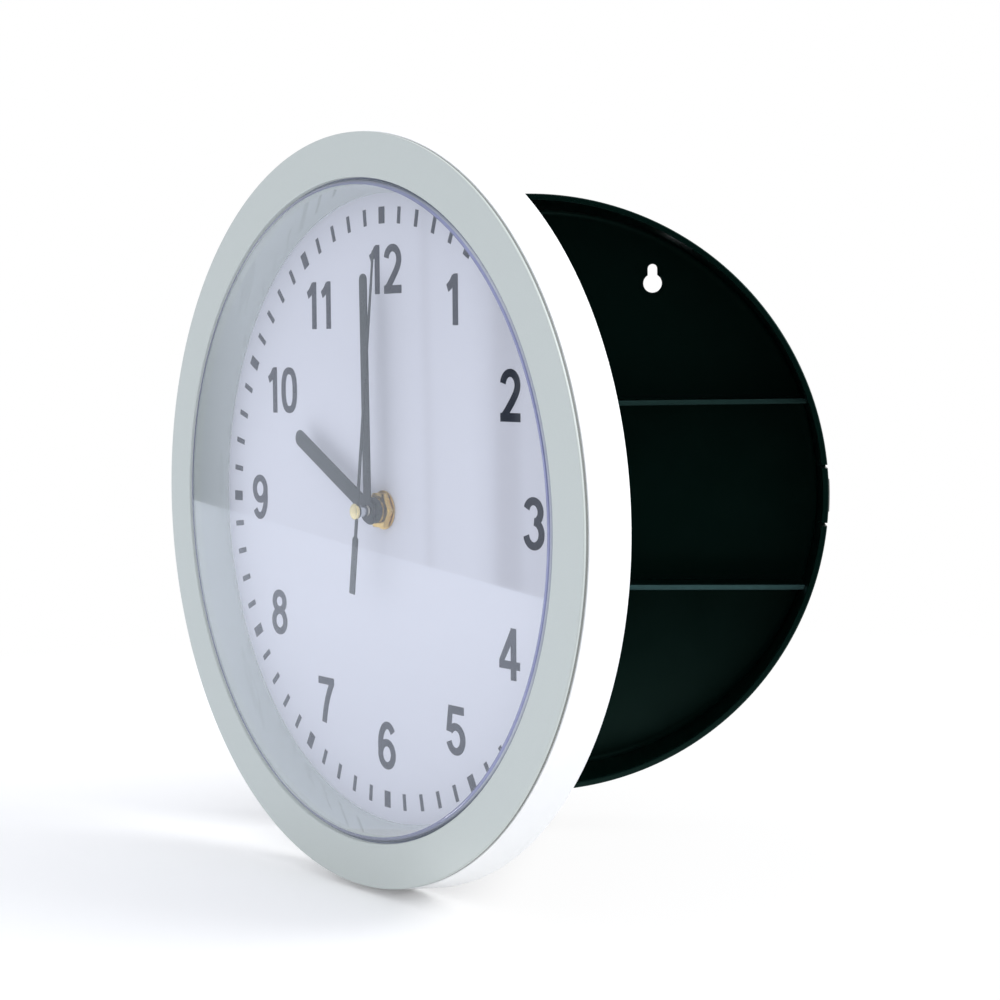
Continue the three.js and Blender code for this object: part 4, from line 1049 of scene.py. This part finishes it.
def floor_paper():
    """Matt white paper. Seen directly it glows a little and fades to white, so that it meets the white backdrop."""
    material, tree, place = new_material("matt_floor_paper")
    tooth = node(tree, "TexNoise", {"Vector": place, "Scale": per_mm(1.5), "Detail": 2.0})
    tone = node(tree, "Mix", {
        "Factor": tooth.outputs["Fac"], "A": linear("#f4f4f4"), "B": linear("#f8f8f7"),
    }, data_type="RGBA")
    paper = node(tree, "BsdfDiffuse", {"Color": tone.outputs["Result"]})
    glow = node(tree, "Emission", {"Color": WHITE, "Strength": 0.14})
    near = node(tree, "AddShader", {0: paper.outputs[0], 1: glow.outputs[0]})
    white = node(tree, "Emission", {"Color": WHITE})
    # It fades with the distance from the safe; at the right of the clock's foot it is also painted white, painted light
    # that washes out the safe's shadow there
    away = node(tree, "VectorMath", {0: place}, operation="LENGTH")
    fade = node(tree, "MapRange", {
        "Value": away.outputs["Value"], "From Min": 0.32, "From Max": 0.62,
    }, interpolation_type="SMOOTHSTEP")
    across = node(tree, "SeparateXYZ", {0: place})
    side = node(tree, "MapRange", {
        "Value": across.outputs["X"], "From Min": -0.035, "From Max": 0.01, "To Max": 0.92,
    }, interpolation_type="SMOOTHSTEP")
    fade = node(tree, "Math", {0: fade.outputs["Result"], 1: side.outputs["Result"]}, operation="MAXIMUM")
    whole = node(tree, "MixShader", {0: fade.outputs[0], 1: near.outputs[0], 2: white.outputs[0]})
    mix = node(tree, "MixShader", {0: seen_directly(tree), 1: paper.outputs[0], 2: whole.outputs[0]})
    return surfaced(material, mix)


staged_plane("studio_floor", flat_at(FLOOR_HEIGHT, oblong(-9000, -9000, 9000, 9000)), floor_paper())


def card_paint(name, hex_colour, strength):
    """An evenly lit reflector card."""
    material, tree, _ = new_material(name)
    glow = node(tree, "Emission", {"Color": linear(hex_colour), "Strength": strength})
    return surfaced(material, glow)


def curtain_paint():
    """A lit white curtain: soft folds along it, one of them open onto the dark room."""
    material, tree, place = new_material("lit_curtain")
    along = node(tree, "SeparateXYZ", {0: place})
    span = node(tree, "MapRange", {"Value": along.outputs["X"], "From Min": -0.9, "From Max": -1.8})
    folds = node(tree, "ValToRGB", {"Fac": span.outputs["Result"]})
    ramp = folds.color_ramp.elements
    ramp[0].position, ramp[0].color = 0.06, (0.50, 0.535, 0.61, 1)
    ramp[1].position, ramp[1].color = 0.90, (1.05, 1.12, 1.28, 1)
    for position, bright in ((0.10, 0.48), (0.125, 0.02), (0.16, 0.0), (0.195, 0.66), (0.235, 0.90), (0.335, 0.85),
                             (0.357, 0.50), (0.381, 0.88)):
        ramp.new(position).color = (bright, bright * 1.07, bright * 1.22, 1)
    rise = node(tree, "MapRange", {
        "Value": along.outputs["Z"], "From Min": -0.03, "From Max": 0.1, "To Min": 0.96, "To Max": 0.82,
    })
    # The light falls off along the curtain's far end
    far = node(tree, "MapRange", {
        "Value": along.outputs["X"], "From Min": -1.9, "From Max": -2.2, "To Min": 1.0, "To Max": 0.2,
    })
    strength = node(tree, "Math", {0: rise.outputs["Result"], 1: far.outputs["Result"]}, operation="MULTIPLY")
    glow = node(tree, "Emission", {"Color": folds.outputs["Color"], "Strength": strength.outputs[0]})
    return surfaced(material, glow)


def lit_floor_paint():
    """The floor before the curtain, which gets brighter towards it."""
    material, tree, place = new_material("lit_floor_before_curtain")
    reach = node(tree, "VectorMath", {0: place}, operation="LENGTH")
    strength = node(tree, "MapRange", {
        "Value": reach.outputs["Value"], "From Min": 0.2, "From Max": 0.8, "To Min": 1.2, "To Max": 1.45,
    })
    glow = node(tree, "Emission", {"Color": linear("#eaf1ff"), "Strength": strength.outputs["Result"]})
    return surfaced(material, glow)


def reflector(name, corners, material, through=False):
    """A card that only reflections see; `through` lets the lens's rear face mirror it too."""
    item = staged_plane(name, corners, material)
    item.visible_camera = item.visible_diffuse = item.visible_volume_scatter = item.visible_shadow = False
    item.visible_transmission = through


# A lit curtain at the left, and the lit floor before it: the lens reflects them above and below a slanting line
reflector("lit_curtain_left", upright((-500, -304), (ROOM_LEFT, 1371)), curtain_paint(), True)
reflector("lit_floor_left", flat_at(-126.7, [
    (-140, 1500), (ROOM_LEFT, 1500), (ROOM_LEFT, ROOM_FRONT), (-140, ROOM_FRONT),
]), lit_floor_paint(), True)
# A small bright card low at the left, which gives the lens's rounded edge its glint
reflector("glint_card", upright((-63.3, -162.9), (-58.7, -177.1), -123.3, -118.7),
          card_paint("glint_card_paint", "#ffffff", 14.0))
# A dark card behind the camera, which the tray's gloss reflects
reflector("dark_card_behind_camera", upright((ROOM_LEFT, ROOM_FRONT), (3000, ROOM_FRONT)),
          card_paint("dark_card_paint", "#10302a", 1.0))
# A dark card on the floor in front, which keeps the tray's floor as dark as it looks
reflector("dark_card_on_floor", flat_at(-126.6, [
    (-1500, ROOM_FRONT), (1500, ROOM_FRONT), (1500, -40), (-90, -300),
]), card_paint("dark_floor_card_paint", "#10302a", 1.0))

# A soft lamp high at the right, for the shadow at the left of the clock
LAMP_PLACE = Vector((1100, -300, 800)) * MM
LAMP_AIM = Vector((0, -80, -40)) * MM
softbox = bpy.data.lights.new("key_softbox_right", "AREA")
softbox.shape = "RECTANGLE"
softbox.size = softbox.size_y = 700 * MM
softbox.energy = 9.0
lamp = linked("key_softbox_right", softbox)
turn = (LAMP_PLACE - LAMP_AIM).to_track_quat("Z", "Y").to_matrix().to_4x4()
lamp.matrix_world = Matrix.Translation(LAMP_PLACE) @ turn

# A white backdrop all round, which lights matt surfaces a little more softly than it looks
world = bpy.data.worlds.new("white_backdrop")
bpy.context.scene.world = world
world.use_nodes = True
sky = world.node_tree
sky.nodes.clear()
lighting = node(sky, "Background", {"Color": linear("#f7f9ff"), "Strength": 0.98})
backdrop = node(sky, "Background", {"Color": WHITE})
mix = node(sky, "MixShader", {0: seen_directly(sky), 1: lighting.outputs[0], 2: backdrop.outputs[0]})
node(sky, "OutputWorld", {"Surface": mix.outputs[0]})

bpy.context.scene.view_settings.view_transform = "Standard"
